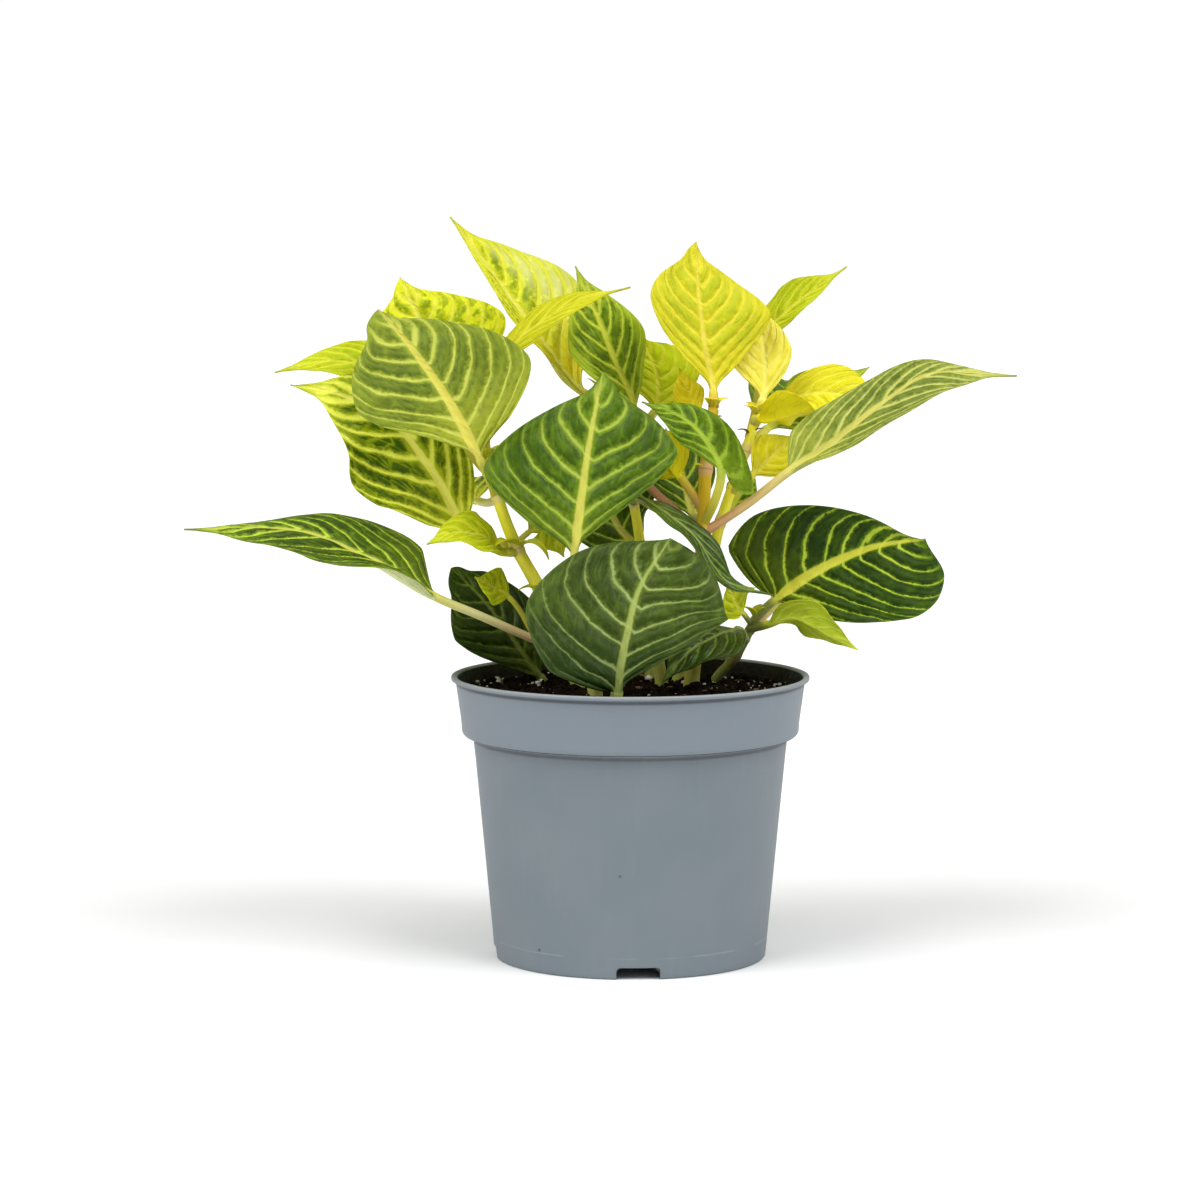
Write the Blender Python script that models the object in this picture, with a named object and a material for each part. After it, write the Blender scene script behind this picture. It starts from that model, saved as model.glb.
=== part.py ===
"""A bloodleaf house plant in a round nursery pot: rooted cuttings in peat, with large veined leaves on stalks."""

import math

import bmesh
import bpy
from mathutils import Matrix, Vector

# Pot, in millimetres
POT_HEIGHT = 102.8
LIP_RADIUS = 65.0
COLLAR_TOP_RADIUS = 63.4
COLLAR_FOOT_RADIUS = 61.2
COLLAR_FOOT_Z = 82.7
BODY_TOP_RADIUS = 57.0
BODY_FOOT_RADIUS = 49.6
WALL = 1.2
FLOOR = 1.4
PAD_RADIUS = 30.0
CHANNEL_RISE = 4.0
FOOT_RING_RADIUS = 44.5
POT_SEGMENTS = 40
DRAIN_COUNT = 6
DRAIN_RADIUS = 3.2
DRAIN_CIRCLE_RADIUS = 37.0
NOTCH_COUNT = 4
NOTCH_WIDTH = 15.6
NOTCH_HEIGHT = 4.4
NOTCH_TURN = math.radians(3.0)

# Soil, in millimetres
SOIL_Z = 96.6
SOIL_MOUND = 1.8
SOIL_SEGMENTS = 30
SEAT_GAP = 0.3
ROOT_DEPTH = 24.0
BURIED_STALK = 12.0

# Leaves and stems
BLADE_THICKNESS = 0.8
STALK_RADIUS = 1.6
STEM_SIDES = 8
STEM_RING_STEP = 11.0
STALK_RING_STEP = 12.0
NODE_SWELLING = 1.22
NODE_HALF_LENGTH = 2.6
BLADE_STATIONS = (0.04, 0.13, 0.26, 0.4, 0.54, 0.68, 0.81, 0.92, 1.0)
SMALL_BLADE_STATIONS = (0.06, 0.22, 0.42, 0.62, 0.82, 1.0)
BLADE_COLUMNS = (-1.0, -0.5, 0.0, 0.5, 1.0)
MARGIN_POWER = 1.6
TIP_HALF_WIDTH = 0.4

POT_GREY = (0.205, 0.250, 0.300)
SOIL_BROWN = (0.028, 0.016, 0.010)
STEM_GOLD = (0.52, 0.42, 0.05)
STEM_OLIVE = (0.26, 0.30, 0.06)
LEAF_COLOURS = {
    "dark": (0.030, 0.105, 0.012),
    "sheen": (0.085, 0.150, 0.050),
    "green": (0.120, 0.260, 0.015),
    "lime": (0.360, 0.500, 0.015),
    "yellow": (0.720, 0.640, 0.012),
}

# Each stem: its path from the soil up, its radius at the soil and at the top, and the path points that are leaf nodes
STEMS = {
    "stem_left": dict(
        path=[(-17, 3, 93), (-25, 2, 112), (-33, 0, 134), (-41, -2, 149), (-48, -6, 168), (-52, 5, 181)],
        radii=(3.1, 1.8), nodes=(1, 3, 4), colour=STEM_GOLD),
    "stem_front": dict(
        path=[(-12, -22, 93), (-16, -22, 114), (-20, -24, 132)],
        radii=(2.8, 2.2), nodes=(1,), colour=STEM_GOLD),
    "stem_centre": dict(
        path=[(12, 12, 93), (9, 8, 114), (5, 4, 141), (1, 0, 166), (0, 0, 171)],
        radii=(2.6, 1.6), nodes=(2, 3), colour=STEM_GOLD),
    "stem_golden": dict(
        path=[(22, 8, 93), (24, 2, 115), (26, -8, 155), (27, -6, 178), (30, 2, 200)],
        radii=(3.0, 2.0), nodes=(2, 3), colour=STEM_GOLD),
    "stem_side": dict(
        path=[(17, 22, 93), (26, 16, 121), (33, 10, 158), (42, 8, 184), (46, 8, 197)],
        radii=(2.5, 1.6), nodes=(2, 3), colour=STEM_GOLD),
    "stem_right": dict(
        path=[(30, 31, 93), (39, 22, 107), (46, 8, 123)],
        radii=(1.9, 1.7), nodes=(1,), colour=STEM_OLIVE),
    "stem_back": dict(
        path=[(8, 30, 93), (8, 30, 112), (4, 32, 142), (-3, 34, 171), (-7, 34, 190), (-9, 33, 201)],
        radii=(2.8, 1.7), nodes=(1, 3, 4), colour=STEM_OLIVE),
}

LEAF_DEFAULTS = dict(
    root=None, base=1, half=(24, 24), belly=(0.45, 0.45), taper=(1.2, 1.3), face=(0, -0.9, 0.4), face_tip=None,
    taper_right=None, fold=(0.12, 0.12), fold_tip=(0.05, 0.05), ease=1.0, curl=(0.1, 0.1), lobe=(0, 0), sweep=(0, 0),
    wave=0.8, waves=2.0, stalk=STALK_RADIUS, stem=None, colour="dark")

# Each leaf: the height at which it leaves its stem, then the path of its stalk and midrib. The blade starts at the
# point numbered by base, where 0 is the root. Half widths are left and right of the midrib, belly is where they are
# widest, face is the way the upper side looks, and fold and curl are how far the halves bend up.
LEAVES = {
    "leaf_left_long": dict(
        stem="stem_left", root=110, base=2,
        path=[(-55, -12, 126), (-70, -17, 133), (-88, -20, 145), (-118, -22, 157), (-159, -24, 158)],
        half=(27, 25), belly=(0.4, 0.25), taper=(0.9, 1.7), taper_right=(0.5, 1.7), face=(0, -0.26, 0.97),
        fold=(0.9, 0.5), fold_tip=(-0.35, -0.15), ease=0.45),
    "leaf_left_lower": dict(
        stem="stem_left", root=149,
        path=[(-57, 6, 153), (-72, 10, 176), (-89, 13, 196), (-107, 16, 204), (-124, 18, 207)],
        half=(28, 20), belly=(0.43, 0.5), taper=(1.0, 1.5), taper_right=(0.9, 1.5), face=(0.1, -0.93, 0.35)),
    "leaf_left_upper": dict(
        stem="stem_left", root=168,
        path=[(-54, -14, 182), (-66, -10, 204), (-79, -4, 222), (-91, 4, 235)],
        half=(30, 33), belly=(0.55, 0.33), taper=(1.4, 0.65), taper_right=(1.1, 1.45),
        face=(-0.1, -0.9, 0.42), colour="sheen"),
    "leaf_left_top": dict(
        stem="stem_left", root=174, base=2, stalk=1.4,
        path=[(-60, 6, 187), (-61, 9, 198), (-69, 13, 216), (-78, 18, 234), (-84, 22, 246)],
        half=(29, 28), taper=(1.2, 1.05), taper_right=(1.2, 1.4), face=(-0.05, -0.85, 0.5), colour="lime"),
    "leaf_left_small": dict(
        stem="stem_left", root=176, base=3, stalk=1.3,
        path=[(-53, 16, 184), (-60, 26, 190), (-72, 31, 200), (-90, 32, 211), (-112, 33, 215),
              (-131, 34, 211)],
        half=(12, 12), taper=(1.0, 1.6), face=(0, -0.6, 0.8), colour="lime"),
    "leaf_top": dict(
        stem="stem_back", root=200.5,
        path=[(-16, 33, 203), (-31, 34, 220), (-46, 36, 241), (-66, 36, 268)],
        half=(11, 30), taper=(1.0, 1.6), face=(0.35, -0.6, 0.7), fold=(0.7, 0.1), colour="lime"),
    "leaf_yellow_cross": dict(
        stem="stem_left", root=181, base=2, stalk=1.3,
        path=[(-52, 5, 193), (-50, 4, 212), (-36, 5, 228), (-19, 7, 238), (0, 9, 243)],
        half=(8, 10), taper=(1.0, 1.7), face=(-0.2, -0.5, 0.85), colour="yellow"),
    "leaf_dark_upright": dict(
        stem="stem_back", root=193,
        path=[(1, 24, 198), (-5, 24, 214), (-10, 26, 227), (-20, 30, 250)],
        half=(18, 14), taper=(1.0, 1.5), face=(0.1, -0.9, 0.4), fold=(0.7, 0.5)),
    "leaf_light_behind": dict(
        stem="stem_back", root=186,
        path=[(9, 36, 196), (10, 40, 210), (4, 42, 224)],
        half=(12, 16), face=(0.1, -0.95, 0.3), colour="lime"),
    "leaf_yellow_top": dict(
        stem="stem_golden", root=200,
        path=[(30, 5, 205), (27, 9, 222), (25, 13, 238), (24, 20, 259)],
        half=(18, 25), belly=(0.64, 0.45), taper=(1.3, 1.0), taper_right=(1.2, 1.6),
        face=(0.05, -0.93, 0.35), colour="yellow"),
    "leaf_gold_behind": dict(
        stem="stem_golden", root=188,
        path=[(25, 12, 196), (21, 16, 204), (18, 19, 213)],
        half=(6, 6), face=(0, -0.9, 0.4), colour="yellow"),
    "leaf_right_point": dict(
        stem="stem_side", root=189, base=2,
        path=[(47, 26, 207), (45, 34, 219), (59, 30, 235), (79, 24, 250)],
        half=(10, 7), taper=(1.0, 1.6), face=(-0.2, -0.7, 0.7), colour="lime"),
    "leaf_pale_yellow": dict(
        stem="stem_side", root=197,
        path=[(48, 9, 202), (49, 12, 213), (48, 16, 225), (44, 20, 238)],
        half=(14, 10), face=(0, -0.95, 0.25), colour="yellow"),
    "leaf_yellow_right": dict(
        stem="stem_side", root=193,
        path=[(53, 18, 200), (66, 16, 204), (79, 10, 204), (92, 4, 201)],
        half=(13, 13), face=(0, -0.75, 0.65), colour="yellow"),
    "leaf_golden_fold": dict(
        stem="stem_side", root=194,
        path=[(47, 1, 196), (52, -3, 197), (60, -4, 199), (68, -3, 198)],
        half=(10, 12), face=(0.1, 0.55, 0.8), colour="yellow"),
    "leaf_right_long": dict(
        stem="stem_golden", root=154, base=2,
        path=[(42, -12, 166), (57, -14, 178), (72, -17, 188), (89, -19, 202), (105, -18, 212),
              (138, -12, 212)],
        half=(16, 17), belly=(0.27, 0.5), taper=(0.5, 1.2), taper_right=(0.8, 1.5), face=(-0.5, -0.5, 0.7),
        face_tip=(0, -0.35, 0.95), fold=(0.7, 0.45), fold_tip=(-0.1, -0.25), ease=0.6, lobe=(6, 0),
        colour="sheen"),
    "leaf_dark_behind": dict(
        stem="stem_side", root=184,
        path=[(50, 18, 191), (64, 24, 199), (88, 30, 213)],
        half=(12, 12), face=(0, -0.9, 0.4)),
    "leaf_mid_right": dict(
        stem="stem_golden", root=159, base=2,
        path=[(30, -15, 167), (32, -20, 179), (27, -19, 189), (17, -12, 198), (4, -3, 202)],
        half=(8, 9), belly=(0.45, 0.4), taper=(0.9, 1.3), taper_right=(0.5, 1.3), face=(-0.1, -0.9, 0.4),
        fold=(0.1, -0.2), fold_tip=(0.05, 0.0), lobe=(2, 24), sweep=(0, -6)),
    "leaf_yellow_low": dict(
        stem="stem_side", root=169,
        path=[(44, 5, 175), (51, 3, 182), (60, 2, 190)],
        half=(9, 9), colour="yellow"),
    "leaf_yellow_under": dict(
        stem="stem_golden", root=163,
        path=[(18, -6, 175), (12, -4, 183), (6, 0, 191)],
        half=(12, 12), taper=(0.9, 1.2), face=(0.3, 0.8, 0.4), colour="yellow"),
    "leaf_centre": dict(
        stem="stem_front", root=132,
        path=[(-20, -28, 149), (-18, -24, 166), (-15, -18, 187), (-10, -8, 213)],
        half=(36, 32), belly=(0.38, 0.6), taper=(1.0, 1.5), taper_right=(1.5, 1.1), face=(0, -0.95, 0.3)),
    "leaf_front_low": dict(
        base=2, stalk=2.2,
        path=[(-6, -42, 92), (-5, -50, 103), (-2, -44, 120), (3, -36, 138), (14, -28, 155)],
        half=(37, 34), belly=(0.42, 0.61), taper=(0.5, 1.2), taper_right=(1.2, 0.36), face=(0, -0.9, 0.4),
        lobe=(7, 0), colour="sheen"),
    "leaf_right_big": dict(
        stem="stem_right", root=123,
        path=[(53, 4, 130), (67, 2, 140), (87, 0, 149), (107, 2, 152)],
        half=(29, 30), belly=(0.26, 0.62), taper=(0.32, 1.6), taper_right=(0.7, 0.6), face=(0, -0.95, 0.3),
        lobe=(14, 2), sweep=(0, 22)),
    "leaf_right_under": dict(
        stem="stem_right", root=118,
        path=[(50, 2, 121), (58, -3, 125), (70, -7, 120), (82, -9, 113)],
        half=(9, 9), face=(0.15, 0.7, 0.65), colour="lime"),
    "leaf_left_floor": dict(
        base=2,
        path=[(-29, 30, 92), (-33, 24, 99), (-43, 17, 114), (-53, 12, 128), (-65, 6, 141)],
        half=(21, 14), belly=(0.7, 0.45), taper=(1.5, 0.7), face=(-0.2, -0.7, 0.7), lobe=(4, 4)),
    "leaf_left_yellow": dict(
        stem="stem_left", root=148,
        path=[(-45, -6, 148), (-52, -12, 154), (-63, -16, 156), (-73, -18, 152)],
        half=(11, 11), taper=(0.8, 1.4), face=(0, -0.55, 0.85), colour="lime"),
    "leaf_left_tiny": dict(
        stem="stem_left", root=101, base=2, stalk=1.0,
        path=[(-32, 6, 112), (-44, 0, 131), (-56, -6, 139)],
        half=(8, 8), taper=(0.9, 1.6), face=(0.2, -0.8, 0.6), colour="lime"),
    "leaf_edge_long": dict(
        stem="stem_centre", root=166,
        path=[(3, -10, 168), (22, -21, 156), (35, -24, 139), (51, -20, 134)],
        half=(9, 10), taper=(0.9, 1.5), face=(0.5, -0.35, 0.8)),
    "leaf_dark_hidden": dict(
        stem="stem_centre", root=144,
        path=[(5, 12, 146), (-4, 15, 155), (-9, 17, 168), (-11, 18, 187)],
        half=(18, 17)),
    "leaf_small_golden": dict(
        stem="stem_left", root=150, stalk=1.1,
        path=[(-37, 7, 154), (-33, 8, 157), (-28, 7, 153), (-24, 6, 145)],
        half=(9, 10), face=(0.3, -0.8, 0.5), colour="yellow"),
    "leaf_front_curved": dict(
        stem="stem_right", root=114,
        path=[(39, 2, 119), (30, -14, 118), (20, -22, 113), (11, -26, 103)],
        half=(13, 12), face=(-0.2, -0.7, 0.65)),
    "leaf_tiny_right": dict(
        stem="stem_right", root=119.5, stalk=1.0,
        path=[(41, 2, 125), (38, -5, 130), (35, -10, 137)],
        half=(7, 9), face=(0, -0.9, 0.4), colour="lime"),
    "leaf_dark_inner": dict(
        stem="stem_golden", root=158,
        path=[(23, 5, 160), (19, 14, 175), (13, 20, 191)],
        half=(13, 12)),
    "leaf_pale_edge": dict(
        stem="stem_side", root=158, stalk=1.1,
        path=[(36, 12, 162), (41, 16, 169), (46, 20, 176)],
        half=(6, 6)),
    "leaf_back_left": dict(
        stem="stem_left", root=167,
        path=[(-56, 27, 164), (-67, 46, 168), (-77, 65, 166), (-86, 85, 160)],
        half=(23, 23), face=(0, 0, 1)),
    "leaf_back_low": dict(
        stem="stem_back", root=118,
        path=[(4, 42, 122), (1, 62, 124), (-3, 100, 108)],
        half=(24, 24), face=(0, 0.2, 1)),
    "leaf_back_right": dict(
        stem="stem_right", root=117,
        path=[(53, 26, 125), (64, 45, 135), (76, 65, 138), (89, 85, 133)],
        half=(22, 22), face=(0, 0, 1)),
    "leaf_behind_centre": dict(
        stem="stem_golden", root=155, base=3,
        path=[(16, -7, 163), (6, -3, 172), (-1, 0, 179), (-16, 6, 183), (-33, 12, 184)],
        half=(15, 15)),
    "leaf_back_centre": dict(
        stem="stem_back", root=187,
        path=[(-8, 44, 187), (-11, 65, 188), (-15, 90, 178), (-19, 112, 161)],
        half=(25, 25), face=(0, 0.25, 1)),
    "leaf_back_top": dict(
        stem="stem_back", root=196,
        path=[(-7, 44, 206), (-4, 62, 214), (0, 90, 219)],
        half=(13, 13), face=(0, -0.1, 1), colour="lime"),
    "leaf_back_high_right": dict(
        stem="stem_side", root=178,
        path=[(47, 28, 194), (60, 52, 205), (68, 85, 203)],
        half=(16, 16), face=(0, 0, 1), colour="green"),
    "leaf_back_low_left": dict(
        stem="stem_left", root=113,
        path=[(-31, 24, 118), (-41, 45, 117), (-53, 80, 107)],
        half=(19, 19), face=(0, 0, 1)),
    "leaf_back_low_right": dict(
        stem="stem_right", root=105,
        path=[(31, 40, 109), (24, 60, 110), (20, 95, 101)],
        half=(15, 15), face=(0, 0, 1)),
    "leaf_back_mid_left": dict(
        stem="stem_back", root=171,
        path=[(-11, 48, 168), (-22, 62, 169), (-38, 80, 168)],
        half=(20, 20), face=(0, 0.1, 1), colour="green"),
}


def metres(point):
    return Vector(point) * 0.001


def principled(name, colour, roughness, metallic=0.0):
    material = bpy.data.materials.get(name)
    if material:
        return material
    material = bpy.data.materials.new(name)
    material.use_nodes = True
    shader = material.node_tree.nodes["Principled BSDF"]
    shader.inputs["Base Color"].default_value = (*colour, 1.0)
    shader.inputs["Roughness"].default_value = roughness
    shader.inputs["Metallic"].default_value = metallic
    material.diffuse_color = (*colour, 1.0)
    return material


def new_object(name, bm, material, smooth_degrees=40.0):
    """Puts a finished bmesh, in metres, into an object of its own."""
    mesh = bpy.data.meshes.new(name)
    bm.normal_update()
    bm.to_mesh(mesh)
    bm.free()
    mesh.shade_smooth()
    mesh.set_sharp_from_angle(angle=math.radians(smooth_degrees))
    mesh.materials.append(material)
    thing = bpy.data.objects.new(name, mesh)
    bpy.context.scene.collection.objects.link(thing)
    return thing


def cut(target, cutter):
    """Takes the cutter's shape out of the target and removes the cutter."""
    modifier = target.modifiers.new("cut", "BOOLEAN")
    modifier.operation = "DIFFERENCE"
    modifier.solver = "EXACT"
    modifier.object = cutter
    bpy.context.view_layer.update()
    depsgraph = bpy.context.evaluated_depsgraph_get()
    result = bpy.data.meshes.new_from_object(target.evaluated_get(depsgraph))
    old = target.data
    target.modifiers.clear()
    target.data = result
    result.name = target.name
    bpy.data.meshes.remove(old)
    used = cutter.data
    bpy.data.objects.remove(cutter)
    bpy.data.meshes.remove(used)


def turned(name, profile, segments, material):
    """Spins a profile of (radius, z) points, which starts and ends on the axis, into a closed round solid."""
    bm = bmesh.new()
    verts = [bm.verts.new(metres((radius, 0, z))) for radius, z in profile]
    edges = [bm.edges.new(pair) for pair in zip(verts, verts[1:])]
    bmesh.ops.spin(bm, geom=verts + edges, cent=(0, 0, 0), axis=(0, 0, 1), angle=math.tau, steps=segments,
                   use_merge=True)
    bmesh.ops.remove_doubles(bm, verts=bm.verts, dist=1e-6)
    bmesh.ops.recalc_face_normals(bm, faces=bm.faces)
    return new_object(name, bm, material)


def inner_radius(z):
    """The pot's inner wall: a cone below the collar, and a wider one inside it."""
    if z < COLLAR_FOOT_Z - 1.5:
        share = z / (COLLAR_FOOT_Z - 1.5)
        return BODY_FOOT_RADIUS - WALL + share * (BODY_TOP_RADIUS - BODY_FOOT_RADIUS)
    share = (z - COLLAR_FOOT_Z) / (POT_HEIGHT - COLLAR_FOOT_Z)
    return COLLAR_FOOT_RADIUS - WALL + share * (COLLAR_TOP_RADIUS - COLLAR_FOOT_RADIUS)


def make_pot():
    neck = COLLAR_FOOT_Z - 2.2
    floor_top = CHANNEL_RISE + FLOOR
    profile = [
        (0, 0), (PAD_RADIUS, 0), (PAD_RADIUS + 1.2, CHANNEL_RISE),
        (FOOT_RING_RADIUS - 0.6, CHANNEL_RISE), (FOOT_RING_RADIUS, 0),
        (BODY_FOOT_RADIUS - 2.2, 0), (BODY_FOOT_RADIUS - 0.7, 0.7), (BODY_FOOT_RADIUS, 2.6),
        (BODY_TOP_RADIUS, neck), (COLLAR_FOOT_RADIUS - 1.7, neck + 0.8), (COLLAR_FOOT_RADIUS - 0.4, neck + 1.7),
        (COLLAR_FOOT_RADIUS, neck + 3.6), (COLLAR_TOP_RADIUS, POT_HEIGHT - 2.2),
        (LIP_RADIUS - 0.4, POT_HEIGHT - 1.5), (LIP_RADIUS, POT_HEIGHT - 1.0), (LIP_RADIUS - 0.15, POT_HEIGHT - 0.4),
        (LIP_RADIUS - 0.8, POT_HEIGHT), (COLLAR_TOP_RADIUS - 0.4, POT_HEIGHT - 0.3),
        (inner_radius(POT_HEIGHT - 3), POT_HEIGHT - 3.0), (inner_radius(COLLAR_FOOT_Z + 1.4), COLLAR_FOOT_Z + 1.4),
        (BODY_TOP_RADIUS - 0.6, COLLAR_FOOT_Z - 0.9), (BODY_TOP_RADIUS - WALL, COLLAR_FOOT_Z - 3.0),
        (inner_radius(floor_top + 2.2), floor_top + 2.2), (inner_radius(floor_top) - 1.8, floor_top),
        (PAD_RADIUS + 0.2, floor_top), (PAD_RADIUS - 1.0, FLOOR), (0, FLOOR),
    ]
    pot = turned("pot", profile, POT_SEGMENTS, principled("grey_plastic", POT_GREY, 0.42))
    for k in range(DRAIN_COUNT):
        turn = math.tau * (k + 0.5) / DRAIN_COUNT
        bm = bmesh.new()
        bmesh.ops.create_cone(bm, cap_ends=True, segments=8, radius1=DRAIN_RADIUS * 0.001,
                              radius2=DRAIN_RADIUS * 0.001, depth=0.012)
        middle = metres((DRAIN_CIRCLE_RADIUS * math.cos(turn), DRAIN_CIRCLE_RADIUS * math.sin(turn), CHANNEL_RISE))
        bmesh.ops.translate(bm, verts=bm.verts, vec=middle)
        cut(pot, new_object("drain_cutter", bm, pot.data.materials[0]))
    for k in range(NOTCH_COUNT):
        turn = NOTCH_TURN - math.pi / 2 + math.tau * k / NOTCH_COUNT
        bm = bmesh.new()
        bmesh.ops.create_cube(bm, size=1.0)
        size = Matrix.Diagonal((0.012, NOTCH_WIDTH * 0.001, NOTCH_HEIGHT * 0.002, 1.0))
        place = Matrix.Rotation(turn, 4, "Z") @ Matrix.Translation(metres((BODY_FOOT_RADIUS, 0, 0)))
        bmesh.ops.transform(bm, matrix=place @ size, verts=bm.verts)
        top_edges = [e for e in bm.edges if all(v.co.z > 0 for v in e.verts)
                     and abs((e.verts[0].co - e.verts[1].co).length - 0.012) < 1e-5]
        bmesh.ops.bevel(bm, geom=top_edges, offset=0.0016, segments=2, affect="EDGES", profile=0.5, material=-1)
        cut(pot, new_object("notch_cutter", bm, pot.data.materials[0]))
    return pot


def make_soil():
    floor_top = CHANNEL_RISE + FLOOR + SEAT_GAP
    wall_foot = floor_top + 2.4
    profile = [
        (0, FLOOR + SEAT_GAP), (PAD_RADIUS - 1.6, FLOOR + SEAT_GAP), (PAD_RADIUS - 0.2, floor_top),
        (inner_radius(floor_top) - 2.6, floor_top), (inner_radius(wall_foot) - SEAT_GAP - 0.1, wall_foot),
        (BODY_TOP_RADIUS - WALL - SEAT_GAP - 0.1, COLLAR_FOOT_Z - 2.8),
        (BODY_TOP_RADIUS - 0.6 - SEAT_GAP, COLLAR_FOOT_Z - 0.2),
        (inner_radius(COLLAR_FOOT_Z + 2.0) - SEAT_GAP - 0.2, COLLAR_FOOT_Z + 2.2),
        (inner_radius(SOIL_Z) - SEAT_GAP - 0.2, SOIL_Z - 1.5),
        (52, SOIL_Z - 0.6), (38, SOIL_Z), (22, SOIL_Z), (8, SOIL_Z), (0, SOIL_Z),
    ]
    soil = turned("soil", profile, SOIL_SEGMENTS, principled("peat", SOIL_BROWN, 0.95))
    for vert in soil.data.vertices:
        x, y, z = vert.co * 1000
        if z > SOIL_Z - 1.0:
            falloff = max(0.0, 1 - math.hypot(x, y) / 56)
            ripple = math.sin(x * 0.19 + 1.3) * math.sin(y * 0.23 - 0.4) + 0.5 * math.sin(x * 0.41 - y * 0.33)
            vert.co.z += 0.001 * SOIL_MOUND * falloff ** 0.5 * (0.45 + 0.55 * ripple)
    return soil


class Spine:
    """A smooth curve through given points, read by the distance along it."""

    def __init__(self, points, steps=14):
        points = [Vector(p) for p in points]
        gaps = [(b - a).length for a, b in zip(points, points[1:])]
        slopes = [(b - a) / gap for a, b, gap in zip(points, points[1:], gaps)]
        tangents = [slopes[0]]
        for i in range(1, len(slopes)):
            tangents.append((slopes[i - 1] * gaps[i] + slopes[i] * gaps[i - 1]) / (gaps[i] + gaps[i - 1]))
        tangents.append(slopes[-1])
        self.samples = [points[0]]
        self.knots = [0.0]
        self.lengths = [0.0]
        for i, gap in enumerate(gaps):
            for k in range(1, steps + 1):
                t = k / steps
                spot = ((2 * t ** 3 - 3 * t * t + 1) * points[i] + (t ** 3 - 2 * t * t + t) * gap * tangents[i]
                        + (3 * t * t - 2 * t ** 3) * points[i + 1] + (t ** 3 - t * t) * gap * tangents[i + 1])
                self.lengths.append(self.lengths[-1] + (spot - self.samples[-1]).length)
                self.samples.append(spot)
            self.knots.append(self.lengths[-1])

    def at(self, distance):
        """The point at a distance along the curve."""
        distance = min(max(distance, 0.0), self.lengths[-1])
        for i in range(1, len(self.samples)):
            if distance <= self.lengths[i]:
                share = (distance - self.lengths[i - 1]) / max(self.lengths[i] - self.lengths[i - 1], 1e-9)
                return self.samples[i - 1].lerp(self.samples[i], share)
        return self.samples[-1]

    def tangent(self, distance):
        step = 0.02 * self.lengths[-1]
        return (self.at(distance + step) - self.at(distance - step)).normalized()


def loft(name, rings, material, upper_points=0):
    """Joins rings of equal length, in millimetres, into a closed tube. A blade's ring has its upper points first,
    then its under ones in reverse, and both sides are split along the same diagonals."""
    bm = bmesh.new()
    rows = [[bm.verts.new(metres(point)) for point in ring] for ring in rings]
    count = len(rings[0])
    for low, high in zip(rows, rows[1:]):
        for j in range(count):
            k = (j + 1) % count
            if j >= upper_points:
                bm.faces.new((low[j], low[k], high[j]))
                bm.faces.new((low[k], high[k], high[j]))
            else:
                bm.faces.new((low[j], low[k], high[k]))
                bm.faces.new((low[j], high[k], high[j]))
    bm.faces.new(tuple(reversed(rows[0])))
    bm.faces.new(tuple(rows[-1]))
    bmesh.ops.recalc_face_normals(bm, faces=bm.faces)
    return new_object(name, bm, material)


def stem_rings(stem, extra=0.0):
    """Rings round a stem's path, with a root part straight down in the soil and a rounded top."""
    first = Vector(stem["path"][0])
    root = [first - Vector((0, 0, ROOT_DEPTH + extra)), first - Vector((0, 0, ROOT_DEPTH / 2))]
    spine = Spine(root + [Vector(p) for p in stem["path"]])
    length = spine.lengths[-1]
    node_places = [spine.knots[index + 2] for index in stem["nodes"]]
    low, high = stem["radii"]
    distances = {0.0}
    count = max(3, round(length / STEM_RING_STEP))
    distances.update(length * k / count for k in range(count))
    for place in node_places:
        distances = {d for d in distances if abs(d - place) > 5.0 or d == 0.0}
        distances.update((place - NODE_HALF_LENGTH, place, place + NODE_HALF_LENGTH))
    distances = sorted(d for d in distances if d < length - 2.0) + [length - 1.2, length]
    across = Vector((1, 0, 0))
    rings = []
    for distance in distances:
        tangent = spine.tangent(distance)
        across = (across - across.dot(tangent) * tangent).normalized()
        other = tangent.cross(across)
        radius = low + (high - low) * distance / length
        swelling = max([1 - abs(distance - place) / NODE_HALF_LENGTH for place in node_places] + [0.0])
        radius *= 1 + (NODE_SWELLING - 1) * max(0.0, swelling)
        if distance == length:
            radius *= 0.55
        radius += extra
        centre = spine.at(distance)
        rings.append([centre + radius * (math.cos(a) * across + math.sin(a) * other)
                      for a in (math.tau * k / STEM_SIDES for k in range(STEM_SIDES))])
    return rings


def side_shape(u, belly, taper):
    """The half width of a blade, as a share of its widest, at a share u of its length."""
    if u < belly:
        return max(0.0, 1 - ((belly - u) / belly) ** MARGIN_POWER) ** taper[0]
    return max(0.0, 1 - ((u - belly) / (1 - belly)) ** MARGIN_POWER) ** taper[1]


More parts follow.
